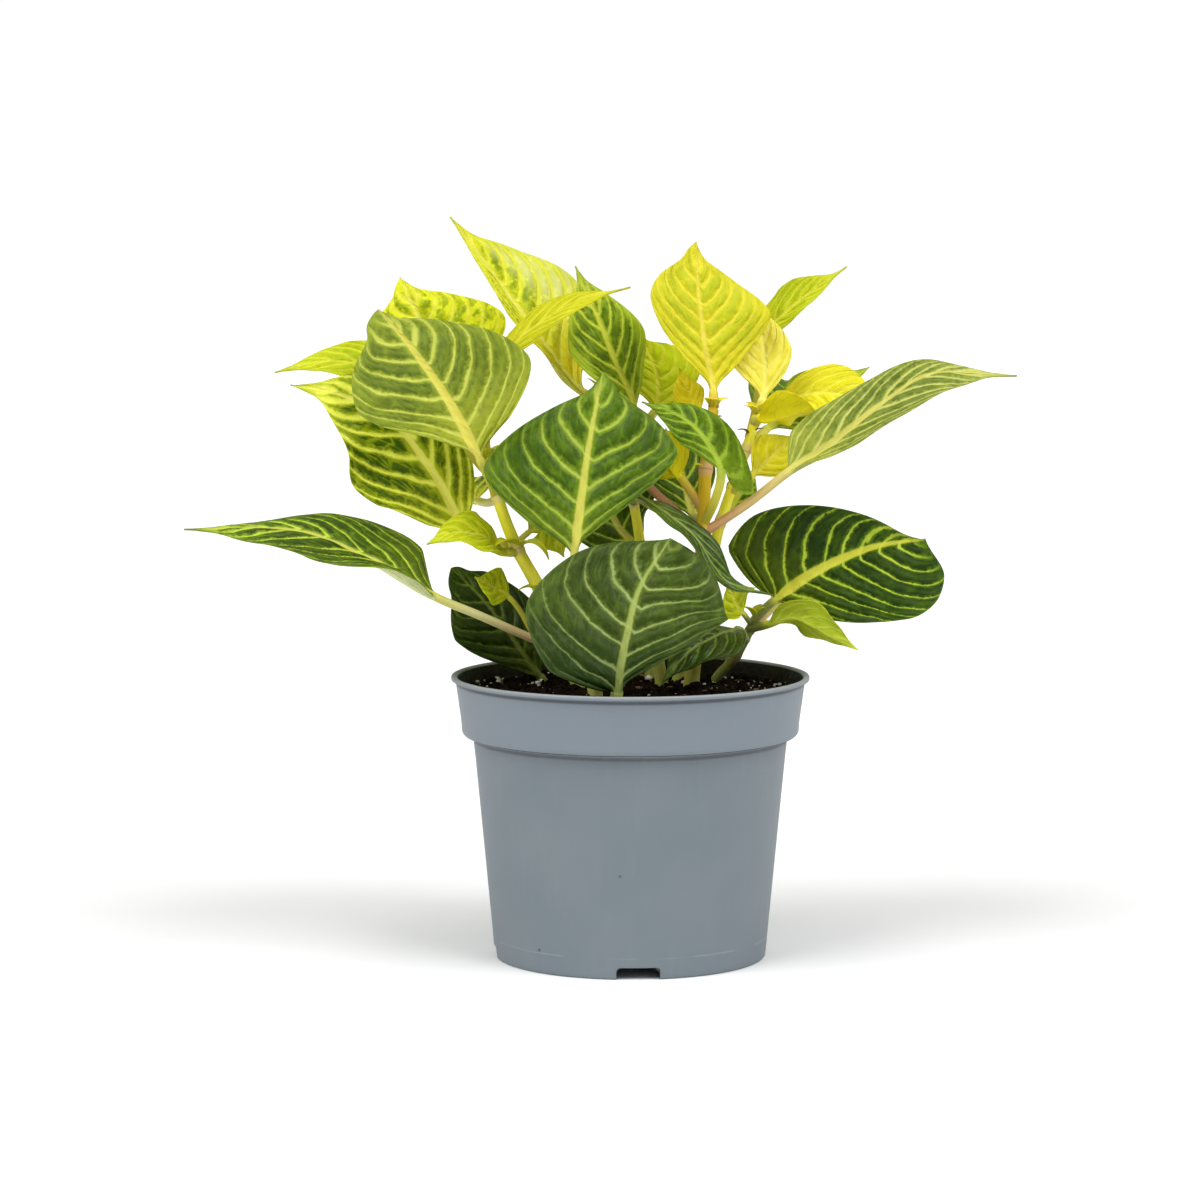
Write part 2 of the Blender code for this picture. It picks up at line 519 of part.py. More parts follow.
def blade_point(leaf, frame, u, v, lift=0.0):
    """A point of the blade: u runs from its base to its tip and v from the left margin, -1, to the right one, 1.
    Lift moves the point along the surface's own normal."""
    centre, tangent, normal, across = frame
    side = 1 if v > 0 else 0
    taper = leaf["taper_right"] if side and leaf["taper_right"] else leaf["taper"]
    width = max(leaf["half"][side] * side_shape(u, leaf["belly"][side], taper), TIP_HALF_WIDTH)
    fold = leaf["fold"][side] + (leaf["fold_tip"][side] - leaf["fold"][side]) * u ** leaf["ease"]
    reach = abs(v)
    angle = fold + leaf["curl"][side] * reach / 2
    sign = 1 if side else -1
    out = sign * across
    ripple = leaf["wave"] * reach ** 2 * math.sin(math.tau * leaf["waves"] * u + 1.7 * side) * math.sin(math.pi * u)
    back = (leaf["lobe"][side] * (1 - u) ** 2 - leaf["sweep"][side] * u * u * (1 - u ** 8)) * reach ** 1.5
    local = fold + leaf["curl"][side] * reach
    point = centre + width * reach * (math.cos(angle) * out + math.sin(angle) * normal)
    point += ripple * normal - back * tangent
    return point + lift * (math.cos(local) * normal - math.sin(local) * out)


def leaf_frames(leaf, distances, spine, base_at, length):
    """Centre, tangent, upper normal and the direction to the right, at each distance along a leaf's path."""
    face = Vector(leaf["face"])
    face_tip = Vector(leaf["face_tip"]) if leaf["face_tip"] else face
    frames = {}
    for distance in distances:
        if distance >= base_at:
            tangent = spine.tangent(distance)
            wanted = face.lerp(face_tip, (distance - base_at) / (length - base_at))
            normal = (wanted - wanted.dot(tangent) * tangent).normalized()
            frames[distance] = (spine.at(distance), tangent, normal, tangent.cross(normal))
    normal = frames[min(frames)][2]
    for distance in sorted((d for d in distances if d < base_at), reverse=True):
        tangent = spine.tangent(distance)
        normal = (normal - normal.dot(tangent) * tangent).normalized()
        frames[distance] = (spine.at(distance), tangent, normal, tangent.cross(normal))
    return frames


def stem_point(stem, height):
    """The point on a stem's axis at a height."""
    spine = Spine(stem["path"])
    return min(spine.samples, key=lambda point: abs(point.z - height))


def leaf_rings(leaf, extra=0.0):
    """Rings of a leaf: round along the stalk, then flattened into the blade, with the midrib standing out below."""
    if leaf["stem"]:
        path = [stem_point(STEMS[leaf["stem"]], leaf["root"])] + leaf["path"]
    else:
        first = Vector(leaf["path"][0])
        path = [first - Vector((0, 0, BURIED_STALK + extra))] + leaf["path"]
    spine = Spine(path)
    base_at = spine.knots[leaf["base"]]
    length = spine.lengths[-1]
    small = length - base_at < 32
    stations = SMALL_BLADE_STATIONS if small else BLADE_STATIONS
    stalk_rings = max(2, round(base_at / STALK_RING_STEP))
    stalk = [base_at * k / stalk_rings for k in range(stalk_rings + 1)]
    blade = [base_at + (length - base_at) * u for u in stations]
    frames = leaf_frames(leaf, stalk + blade, spine, base_at, length)
    columns = len(BLADE_COLUMNS)
    rings = []
    for distance in stalk + blade:
        frame = frames[distance]
        centre, tangent, normal, across = frame
        u = max(0.0, (distance - base_at) / (length - base_at))
        radius = leaf["stalk"] + extra
        turns = [math.pi * (0.9 - 0.2 * j) for j in range(2 * columns)]
        stalk_ring = [centre + radius * (math.cos(a) * across + math.sin(a) * normal) for a in turns]
        if u == 0:
            rings.append(stalk_ring)
            continue
        top = [blade_point(leaf, frame, u, v) for v in BLADE_COLUMNS]
        under = [blade_point(leaf, frame, u, v, -BLADE_THICKNESS) for v in reversed(BLADE_COLUMNS)]
        under[columns // 2] -= normal * leaf["stalk"] * 1.3 * (1 - u) ** 0.8
        share = min(1.0, u / 0.12) ** 0.7
        rings.append([a.lerp(b, share) for a, b in zip(stalk_ring, top + under)])
    return rings


def make_plant(soil):
    """Stems in holes in the soil, then each leaf, cut where its stalk meets its stem."""
    for name, stem in STEMS.items():
        stem_material = principled(f"{name}_skin", stem["colour"], 0.5)
        loft(name, stem_rings(stem), stem_material)
        cut(soil, loft(f"{name}_hole", stem_rings(stem, SEAT_GAP), stem_material))
    for name, given in LEAVES.items():
        leaf = {**LEAF_DEFAULTS, **given}
        material = principled(f"leaf_{leaf['colour']}", LEAF_COLOURS[leaf["colour"]], 0.42)
        blade = loft(name, leaf_rings(leaf), material, len(BLADE_COLUMNS))
        if leaf["stem"]:
            cut(blade, loft("stem_cutter", stem_rings(STEMS[leaf["stem"]], SEAT_GAP), material))
        else:
            stalk_rings = leaf_rings(leaf, SEAT_GAP)[:-len(BLADE_STATIONS)]
            cut(soil, loft("stalk_hole", stalk_rings, material))


def main():
    for thing in list(bpy.data.objects):
        bpy.data.objects.remove(thing)
    plant = bpy.data.objects.new("potted_bloodleaf", None)
    bpy.context.scene.collection.objects.link(plant)
    make_pot()
    make_plant(make_soil())
    for thing in bpy.data.objects:
        if thing.type == "MESH":
            thing.parent = plant


main()
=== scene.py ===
import math
import random

import bmesh
import bpy
from mathutils import Matrix, Vector, noise


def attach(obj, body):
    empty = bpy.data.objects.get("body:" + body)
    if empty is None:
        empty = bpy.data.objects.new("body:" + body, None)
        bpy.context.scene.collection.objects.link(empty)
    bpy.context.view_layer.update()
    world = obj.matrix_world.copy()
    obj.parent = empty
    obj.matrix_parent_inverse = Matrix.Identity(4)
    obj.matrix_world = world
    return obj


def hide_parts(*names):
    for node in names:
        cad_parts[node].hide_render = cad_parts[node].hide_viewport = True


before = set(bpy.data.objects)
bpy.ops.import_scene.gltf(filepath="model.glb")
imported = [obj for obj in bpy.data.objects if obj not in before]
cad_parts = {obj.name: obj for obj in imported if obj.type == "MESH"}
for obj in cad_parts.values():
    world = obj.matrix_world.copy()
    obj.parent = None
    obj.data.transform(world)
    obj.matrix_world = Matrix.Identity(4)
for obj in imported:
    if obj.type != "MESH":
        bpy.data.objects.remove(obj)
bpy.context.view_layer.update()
print("frame loaded:", len(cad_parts), "solids")

mm = 0.001


# Shader expressions: a wire is one socket's value, and maths on wires adds the nodes
class Wire:
    def __init__(self, tree, socket):
        self.tree = tree
        self.socket = socket

    def node(self, kind, settings, inputs, output=0):
        made = self.tree.nodes.new(kind)
        for key, value in settings.items():
            if key == "stops":
                ramp = made.color_ramp
                while len(ramp.elements) < len(value):
                    ramp.elements.new(0.5)
                for element, (place, colour) in zip(ramp.elements, value):
                    element.position = place
                    element.color = (*colour, 1.0)
            else:
                setattr(made, key, value)
        for key, value in inputs.items():
            if isinstance(value, Wire):
                self.tree.links.new(value.socket, made.inputs[key])
            else:
                made.inputs[key].default_value = value
        return Wire(self.tree, made.outputs[output])

    def math(self, operation, *values):
        return self.node("ShaderNodeMath", {"operation": operation}, dict(enumerate(values)))

    def __add__(self, other):
        return self.math("ADD", self, other)

    __radd__ = __add__

    def __sub__(self, other):
        return self.math("SUBTRACT", self, other)

    def __rsub__(self, other):
        return self.math("SUBTRACT", other, self)

    def __mul__(self, other):
        return self.math("MULTIPLY", self, other)

    __rmul__ = __mul__

    def __pow__(self, other):
        return self.math("POWER", self, other)

    def size(self):
        return self.math("ABSOLUTE", self)

    def least(self, other):
        return self.math("MINIMUM", self, other)

    def most(self, other):
        return self.math("MAXIMUM", self, other)

    # 0 below low, 1 above high, and smooth between them
    def step(self, low, high):
        settings = {"interpolation_type": "SMOOTHSTEP"}
        return self.node("ShaderNodeMapRange", settings, {"Value": self, "From Min": low, "From Max": high})

    def ramp(self, *stops):
        return self.node("ShaderNodeValToRGB", {"stops": stops}, {"Fac": self})


class Finish:
    def __init__(self, name, specular=0.3):
        self.material = bpy.data.materials.new(name)
        self.material.use_nodes = True
        self.shader = self.material.node_tree.nodes["Principled BSDF"]
        self.start = Wire(self.material.node_tree, None)
        self.set("Specular IOR Level", specular)

    def set(self, name, value):
        if isinstance(value, Wire):
            self.material.node_tree.links.new(value.socket, self.shader.inputs[name])
        elif isinstance(value, tuple):
            self.shader.inputs[name].default_value = (*value, 1.0)
        else:
            self.shader.inputs[name].default_value = value

    def node(self, kind, settings=None, inputs=None, output=0):
        return self.start.node(kind, settings or {}, inputs or {}, output)

    def place(self):
        return self.node("ShaderNodeTexCoord", output="Object")

    def axis(self, vector, letter):
        return self.node("ShaderNodeSeparateXYZ", {}, {"Vector": vector}, letter)

    # height above the pot's foot, in millimetres
    def level(self):
        return self.axis(self.place(), "Z") * 1000

    # the object's own place, drawn out along Z so that a noise on it runs in upright streaks
    def upright(self, share):
        return self.node("ShaderNodeMapping", {}, {"Vector": self.place(), "Scale": (1.0, 1.0, share)})

    # along and across the blade, from its foot to its tip and from its left to its right margin
    def onBlade(self):
        spot = self.node("ShaderNodeUVMap", {"uv_map": "blade"})
        return self.axis(spot, "X"), self.axis(spot, "Y")

    def attribute(self, name):
        return self.node("ShaderNodeAttribute", {"attribute_name": name}, output="Fac")

    # noise from 0 to 1; size is the width of its lumps in millimetres
    def noise(self, size, detail=3.0, at=None, shift=0.0):
        settings = {"noise_dimensions": "4D"}
        inputs = {"Vector": at or self.place(), "W": shift, "Scale": 1 / (size * mm), "Detail": detail}
        return self.node("ShaderNodeTexNoise", settings, inputs)

    def blend(self, factor, first, second):
        sockets = {0: factor, 6: first, 7: second}
        for key in (6, 7):
            if isinstance(sockets[key], tuple):
                sockets[key] = (*sockets[key], 1.0)
        return self.node("ShaderNodeMix", {"data_type": "RGBA"}, sockets, 2)

    # the last call of a finish; depth is how far the relief stands out, in millimetres
    def made(self, base, roughness, relief, depth):
        self.set("Base Color", base)
        self.set("Roughness", roughness)
        inputs = {"Height": relief, "Distance": depth * mm, "Strength": 1.0}
        self.set("Normal", self.node("ShaderNodeBump", {}, inputs))
        return self.material


def scaled(colour, factor):
    return tuple(channel * factor for channel in colour)


# Mesh helpers
def newPiece(name, bm, materials, replaced=(), sharpAngle=50.0):
    mesh = bpy.data.meshes.new(name)
    bm.normal_update()
    bm.to_mesh(mesh)
    bm.free()
    for material in materials:
        mesh.materials.append(material)
    mesh.shade_smooth()
    mesh.set_sharp_from_angle(angle=math.radians(sharpAngle))
    piece = bpy.data.objects.new(name, mesh)
    bpy.context.scene.collection.objects.link(piece)
    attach(piece, "root")
    for node in replaced:
        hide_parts(node)
    return piece


# Makes a grid to be rolled into a skin through rings of equal length; cells hold each vertex's column and row
def rolledSkin(rings, layerNames):
    around = len(rings[0])
    along = len(rings) - 1
    bm = bmesh.new()
    for layerName in layerNames:
        bm.verts.layers.float.new(layerName)
    bm.loops.layers.uv.new("blade")
    bmesh.ops.create_grid(bm, x_segments=around, y_segments=along, size=0.5)
    cells = {}
    for vert in bm.verts:
        column = round((vert.co.x + 0.5) * around)
        row = round((vert.co.y + 0.5) * along)
        cells[vert] = (column, row)
    return bm, cells


def closeSkin(bm):
    bmesh.ops.remove_doubles(bm, verts=bm.verts, dist=1e-7)
    rims = [edge for edge in bm.edges if edge.is_boundary]
    bmesh.ops.holes_fill(bm, edges=rims, sides=0)
    bmesh.ops.recalc_face_normals(bm, faces=bm.faces)


def spun(profile, steps):
    bm = bmesh.new()
    verts = [bm.verts.new(Vector((radius, 0, z)) * mm) for radius, z in profile]
    edges = [bm.edges.new(pair) for pair in zip(verts, verts[1:])]
    bmesh.ops.spin(bm, geom=verts + edges, cent=(0, 0, 0), axis=(0, 0, 1), angle=math.tau, steps=steps,
                   use_merge=True)
    bmesh.ops.remove_doubles(bm, verts=bm.verts, dist=1e-6)
    bmesh.ops.recalc_face_normals(bm, faces=bm.faces)
    return bm


def cutAway(piece, bm):
    cutter = bpy.data.objects.new("cutter", bpy.data.meshes.new("cutter"))
    bm.to_mesh(cutter.data)
    bm.free()
    bpy.context.scene.collection.objects.link(cutter)
    boolean = piece.modifiers.new("cut", "BOOLEAN")
    boolean.object = cutter
    bpy.context.view_layer.update()
    cut = bpy.data.meshes.new_from_object(piece.evaluated_get(bpy.context.evaluated_depsgraph_get()))
    piece.modifiers.clear()
    piece.data = cut
    bpy.data.objects.remove(cutter)


# Camera, floor and lights
view = dict(place=(-0.011, -1.45, 0.281), target=(-0.011, 0.0, 0.130), lens=120.7, sensor=36.0)

camera = bpy.data.objects.new("camera", bpy.data.cameras.new("camera"))
camera.location = view["place"]
camera.rotation_euler = (Vector(view["target"]) - Vector(view["place"])).to_track_quat("-Z", "Y").to_euler()
camera.data.lens = view["lens"]
camera.data.sensor_width = view["sensor"]
camera.data.clip_start = 0.05
bpy.context.scene.collection.objects.link(camera)
bpy.context.scene.camera = camera
bpy.context.scene.view_settings.view_transform = "Standard"

floorBm = bmesh.new()
bmesh.ops.create_grid(floorBm, x_segments=8, y_segments=8, size=6.0)
floorMesh = bpy.data.meshes.new("floor")
floorBm.to_mesh(floorMesh)
floorBm.free()
floorFinish = Finish("floorWhite", specular=0.0)
floorFinish.set("Base Color", (0.93, 0.93, 0.93))
floorFinish.set("Roughness", 0.9)
floorMesh.materials.append(floorFinish.material)
floor = bpy.data.objects.new("floor", floorMesh)
bpy.context.scene.collection.objects.link(floor)

# broad soft lights, so far away that they light the whole floor evenly
lamps = dict(
    overhead=dict(place=(0.1, 0.25, 1.6), spread=70.0, power=0.50),
    frontLeft=dict(place=(-0.86, -0.67, 1.19), spread=42.0, power=1.82),
    frontRight=dict(place=(0.88, -0.66, 1.19), spread=42.0, power=1.73),
)
for lampName, lamp in lamps.items():
    light = bpy.data.lights.new(lampName, "SUN")
    light.angle = math.radians(lamp["spread"])
    light.energy = lamp["power"]
    lightObject = bpy.data.objects.new(lampName, light)
    lightObject.location = lamp["place"]
    towards = Vector((0, 0, 0)) - Vector(lamp["place"])
    lightObject.rotation_euler = towards.to_track_quat("-Z", "Y").to_euler()
    bpy.context.scene.collection.objects.link(lightObject)

world = bpy.data.worlds.new("studio")
bpy.context.scene.world = world
world.use_nodes = True
room = world.node_tree.nodes["Background"]
room.inputs["Color"].default_value = (1.0, 1.0, 1.0, 1.0)
seen = Wire(world.node_tree, None).node("ShaderNodeLightPath", {}, {}, "Is Camera Ray")
roomLight = 0.29
world.node_tree.links.new((seen * (1.02 - roomLight) + roomLight).socket, room.inputs["Strength"])
print("camera, floor and lights ready")


# The nursery pot, in millimetres
potSize = dict(height=102.8, lip=65.0, collarTop=63.4, collarFoot=61.2, collarFootZ=82.7, bodyTop=57.0,
               bodyFoot=49.6, wall=1.2, floor=1.4, pad=30.0, channel=4.0, footRing=44.5, steps=192)
potHoles = dict(drains=6, drainRadius=3.2, drainCircle=37.0, notches=4, notchWidth=15.6, notchHeight=4.4,
                notchDepth=12.0, notchRound=1.4, notchTurn=math.radians(3.0))
# colours of the plastic with its painted shade and highlight, and the heights of what marks it, in
# millimetres
potLook = dict(
    wall=(0.166, 0.201, 0.227), wallPale=(0.186, 0.220, 0.243), collar=(0.203, 0.239, 0.272),
    shade=(0.045, 0.054, 0.063), lipHighlight=(0.36, 0.37, 0.355), streak=(0.26, 0.29, 0.31),
    mould=(0.36, 0.40, 0.43), darkFleck=(0.05, 0.06, 0.07), whiteFleck=(0.66, 0.70, 0.72),
    inside=(0.013, 0.013, 0.008), shadedDust=(0.034, 0.033, 0.022), soiled=(0.012, 0.008, 0.005),
    collarFrom=(77.5, 80.6), underCollar=79.8, underLip=100.5, lipHighlightFrom=(101.8, 102.6), mouldLine=7.7,
    soiledTo=(94.5, 98.5), fleckScale=62.0)


# Rounds each corner of a profile with an arc-like curve of a few points
def rounded(points, radius, steps=4):
    result = [points[0]]
    for before, corner, after in zip(points, points[1:], points[2:]):
        corner, before, after = Vector(corner), Vector(before), Vector(after)
        reach = min(radius, (before - corner).length * 0.45, (after - corner).length * 0.45)
        first = corner + (before - corner).normalized() * reach
        last = corner + (after - corner).normalized() * reach
        for k in range(steps + 1):
            t = k / steps
            spot = first * (1 - t) ** 2 + corner * 2 * t * (1 - t) + last * t * t
            result.append((spot.x, spot.y))
    result.append(points[-1])
    return result


def innerWall(z):
    p = potSize
    if z < p["collarFootZ"] - 1.5:
        share = z / (p["collarFootZ"] - 1.5)
        return p["bodyFoot"] - p["wall"] + share * (p["bodyTop"] - p["bodyFoot"])
    share = (z - p["collarFootZ"]) / (p["height"] - p["collarFootZ"])
    return p["collarFoot"] - p["wall"] + share * (p["collarTop"] - p["collarFoot"])


def potFinish():
    look = potLook
    finish = Finish("greyPolypropylene", specular=0.35)
    level = finish.level()
    cloud = finish.noise(38.0, 2.0)
    grain = finish.noise(0.9, 2.0)
    base = finish.blend(cloud.step(0.3, 0.7), look["wall"], look["wallPale"])
    base = finish.blend(level.step(*look["collarFrom"]), base, look["collar"])
    # painted shade: dark lines painted under the collar and under the lip
    collarLine = 1 - ((level - look["underCollar"]).size() + (cloud - 0.5)).step(0.2, 1.3)
    lipLine = 1 - (level - look["underLip"]).size().step(0.25, 1.1)
    base = finish.blend((collarLine * 0.7 + lipLine * 0.8).least(1.0), base, look["shade"])
    # painted highlight: the top of the lip is painted pale
    base = finish.blend(level.step(*look["lipHighlightFrom"]) * (0.45 + 0.4 * cloud), base, look["lipHighlight"])
    streak = finish.noise(3.0, 3.0, finish.upright(0.12), 4.0)
    base = finish.blend(streak.step(0.5, 0.8) * 0.10, base, look["streak"])
    # moulding line above the foot, and the odd dark and white fleck
    line = 1 - (level - look["mouldLine"]).size().step(0.12, 0.4)
    lineBreak = finish.noise(14.0, 1.0, shift=2.0).step(0.42, 0.6)
    base = finish.blend(line * lineBreak * 0.35, base, look["mould"])
    fleckInputs = {"Vector": finish.place(), "Scale": look["fleckScale"]}
    flecks = finish.node("ShaderNodeTexVoronoi", {}, fleckInputs)
    fleckTint = finish.node("ShaderNodeTexVoronoi", {}, fleckInputs, "Color")
    pick = finish.node("ShaderNodeSeparateColor", {}, {"Color": fleckTint}, "Red")
    dark = (1 - flecks.step(0.026, 0.046)) * pick.step(0.74, 0.76)
    white = (1 - flecks.step(0.020, 0.034)) * (1 - pick.step(0.20, 0.22))
    base = finish.blend(dark * 0.75, base, look["darkFleck"])
    base = finish.blend(white * 0.8, base, look["whiteFleck"])
    relief = grain + streak * 1.5 + cloud * 6 - line * lineBreak * 2.0
    return finish.made(base, 0.42 + 0.10 * cloud + 0.05 * grain, relief, 0.05)


# painted shade: the grey plastic inside the pot is painted near-black for its shade, with dust and soil
# stains over it
def potInsideFinish():
    look = potLook
    finish = Finish("potInside", specular=0.2)
    level = finish.level()
    dirt = finish.noise(2.6, 4.0).step(0.42, 0.62)
    dust = finish.noise(9.0, 3.0, shift=3.0)
    base = finish.blend(dust, look["inside"], look["shadedDust"])
    soiled = dirt * (1 - (level + dust * 3).step(*look["soiledTo"]))
    base = finish.blend(soiled * 0.85, base, look["soiled"])
    return finish.made(base, 0.6, dirt, 0.25)


def makePot():
    p = potSize
    neck = p["collarFootZ"] - 2.2
    floorTop = p["channel"] + p["floor"]
    outside = rounded([
        (0, 0), (p["pad"], 0), (p["pad"] + 1.2, p["channel"]), (p["footRing"] - 0.6, p["channel"]),
        (p["footRing"], 0), (p["bodyFoot"] - 0.3, 0), (p["bodyFoot"] + 0.1, 3.0)], 0.9)
    # the body widens in a straight taper between its foot and its neck
    for k in range(1, 12):
        t = k / 12
        radius = p["bodyFoot"] + (p["bodyTop"] - p["bodyFoot"]) * t
        outside.append((radius, 3.0 + (neck - 3.0) * t))
    outside += rounded([
        (p["bodyTop"] - 0.15, neck - 2.5), (p["bodyTop"], neck), (p["collarFoot"] - 0.1, neck + 0.9),
        (p["collarFoot"] + 0.2, neck + 6.0), (p["collarTop"], p["height"] - 2.0),
        (p["lip"] - 0.5, p["height"] - 1.55)], 2.2, 6)[:-1]
    outside += rounded([
        (p["lip"] - 0.4, p["height"] - 1.5), (p["lip"], p["height"] - 1.35), (p["lip"], p["height"] - 0.1),
        (p["lip"] - 1.5, p["height"])], 0.6, 5)[:-1]
    inside = rounded([
        (p["lip"] - 1.3, p["height"]), (p["collarTop"] - 0.6, p["height"] - 0.4),
        (innerWall(p["height"] - 4), p["height"] - 4.0),
        (innerWall(p["collarFootZ"] + 2), p["collarFootZ"] + 1.4),
        (p["bodyTop"] - 0.6, p["collarFootZ"] - 1.2), (p["bodyTop"] - p["wall"], p["collarFootZ"] - 3.4),
        (innerWall(floorTop + 3), floorTop + 3), (innerWall(floorTop) - 1.8, floorTop),
        (p["pad"] + 0.2, floorTop), (p["pad"] - 1.0, p["floor"]), (0, p["floor"])], 1.0)
    bm = spun(outside + inside, p["steps"])
    for face in bm.faces:
        middle = face.calc_center_median()
        radius = math.hypot(middle.x, middle.y) / mm
        z = middle.z / mm
        if z < p["height"] - 0.6 and radius < innerWall(z) + 0.45 and z > p["channel"] + 0.5:
            face.material_index = 1
    pot = newPiece("nursery_pot", bm, [potFinish(), potInsideFinish()], ["pot"], 35.0)
    h = potHoles
    for k in range(h["drains"]):
        turn = math.tau * (k + 0.5) / h["drains"]
        hole = bmesh.new()
        bmesh.ops.create_cone(hole, cap_ends=True, segments=32, radius1=h["drainRadius"] * mm,
                              radius2=h["drainRadius"] * mm, depth=0.012)
        middle = Vector((math.cos(turn), math.sin(turn), 0)) * h["drainCircle"] * mm
        bmesh.ops.translate(hole, verts=hole.verts, vec=middle + Vector((0, 0, p["channel"] * mm)))
        cutAway(pot, hole)
    for k in range(h["notches"]):
        turn = h["notchTurn"] - math.pi / 2 + math.tau * k / h["notches"]
        notch = bmesh.new()
        bmesh.ops.create_cube(notch, size=1.0)
        depth = h["notchDepth"] * mm
        size = Matrix.Diagonal((depth, h["notchWidth"] * mm, h["notchHeight"] * 2 * mm, 1.0))
        bmesh.ops.transform(notch, matrix=size, verts=notch.verts)
        upper = [edge for edge in notch.edges if all(vert.co.z > 0 for vert in edge.verts)]
        upper = [edge for edge in upper if abs(edge.calc_length() - depth) < 1e-5]
        bmesh.ops.bevel(notch, geom=upper, offset=h["notchRound"] * mm, segments=5, affect="EDGES",
                        profile=0.5, material=-1)
        place = Matrix.Rotation(turn, 4, "Z") @ Matrix.Translation((p["bodyFoot"] * mm, 0, 0))
        bmesh.ops.transform(notch, matrix=place, verts=notch.verts)
        cutAway(pot, notch)
    pot.data.shade_smooth()
    pot.data.set_sharp_from_angle(angle=math.radians(35))


makePot()
print("pot made")


# Stems: their paths from the soil up, in millimetres, as the solids have them
stems = dict(
    stem_left=dict(
        path=[(-17, 3, 93), (-25, 2, 112), (-33, 0, 134), (-41, -2, 149), (-48, -6, 168), (-52, 5, 181)],
        radii=(3.1, 1.8), nodes=(1, 3, 4), look="gold"),
    stem_front=dict(
        path=[(-12, -22, 93), (-16, -22, 114), (-20, -24, 132)], radii=(2.8, 2.2), nodes=(1,), look="gold"),
    stem_centre=dict(
        path=[(12, 12, 93), (9, 8, 114), (5, 4, 141), (1, 0, 166), (0, 0, 171)], radii=(2.6, 1.6),
        nodes=(2, 3), look="gold"),
    stem_golden=dict(
        path=[(22, 8, 93), (24, 2, 115), (26, -8, 155), (27, -6, 178), (30, 2, 200)], radii=(3.0, 2.0),
        nodes=(2, 3), look="amber"),
    stem_side=dict(
        path=[(17, 22, 93), (26, 16, 121), (33, 10, 158), (42, 8, 184), (46, 8, 197)], radii=(2.5, 1.6),
        nodes=(2, 3), look="gold"),
    stem_right=dict(
        path=[(30, 31, 93), (39, 22, 107), (46, 8, 123)], radii=(1.9, 1.7), nodes=(1,), look="olive"),
    stem_back=dict(
        path=[(8, 30, 93), (8, 30, 112), (4, 32, 142), (-3, 34, 171), (-7, 34, 190), (-9, 33, 201)],
        radii=(2.8, 1.7), nodes=(1, 3, 4), look="olive"),
)
stemBuild = dict(rootDepth=24.0, sides=20, ringStep=1.6, swelling=1.22, nodeHalf=3.4)
stemLooks = dict(
    gold=dict(low=(0.58, 0.61, 0.15), high=(0.97, 0.91, 0.05), node=(0.78, 0.62, 0.24), slot="stem_gold"),
    amber=dict(low=(0.56, 0.55, 0.12), high=(0.70, 0.47, 0.010), node=(0.72, 0.42, 0.20), slot="stem_gold"),
    olive=dict(low=(0.40, 0.44, 0.12), high=(0.38, 0.42, 0.07), node=(0.46, 0.38, 0.15), slot="stem_olive"),
)


# A smooth curve through points, read by the distance along it
class Spine:
    def __init__(self, points, steps=14):
        points = [Vector(p) for p in points]
        gaps = [(b - a).length for a, b in zip(points, points[1:])]
        slopes = [(b - a) / gap for a, b, gap in zip(points, points[1:], gaps)]
        tangents = [slopes[0]]
        for i in range(1, len(slopes)):
            tangents.append((slopes[i - 1] * gaps[i] + slopes[i] * gaps[i - 1]) / (gaps[i] + gaps[i - 1]))
        tangents.append(slopes[-1])
        self.samples = [points[0]]
        self.knots = [0.0]
        self.lengths = [0.0]
        for i, gap in enumerate(gaps):
            for k in range(1, steps + 1):
                t = k / steps
                spot = (2 * t ** 3 - 3 * t * t + 1) * points[i]
                spot += (t ** 3 - 2 * t * t + t) * gap * tangents[i]
                spot += (3 * t * t - 2 * t ** 3) * points[i + 1]
                spot += (t ** 3 - t * t) * gap * tangents[i + 1]
                self.lengths.append(self.lengths[-1] + (spot - self.samples[-1]).length)
                self.samples.append(spot)
            self.knots.append(self.lengths[-1])

    def at(self, distance):
        distance = min(max(distance, 0.0), self.lengths[-1])
        for i in range(1, len(self.samples)):
            if distance <= self.lengths[i]:
                share = (distance - self.lengths[i - 1]) / max(self.lengths[i] - self.lengths[i - 1], 1e-9)
                return self.samples[i - 1].lerp(self.samples[i], share)
        return self.samples[-1]

    def tangent(self, distance):
        step = 0.02 * self.lengths[-1]
        return (self.at(distance + step) - self.at(distance - step)).normalized()


def stemFinish(name, look):
    finish = Finish(f"{name}Skin")
    streak = finish.noise(0.9, 4.0, finish.upright(0.08))
    blotch = finish.noise(7.0, 3.0, shift=1.0)
    base = finish.blend((finish.level() + blotch * 20).step(100, 165), look["low"], look["high"])
    base = finish.blend(streak.step(0.45, 0.75) * 0.35, base, scaled(look["high"], 0.62))
    along = finish.attribute("nodeNear")
    base = finish.blend((along + blotch * 0.3 - 0.15).step(0.25, 0.95) * 0.85, base, look["node"])
    base = finish.blend(along.step(0.93, 0.99) * 0.6, base, scaled(look["node"], 0.45))
    return finish.made(base, 0.36 + 0.2 * blotch, streak + finish.noise(0.35, 2.0) * 0.3, 0.10)


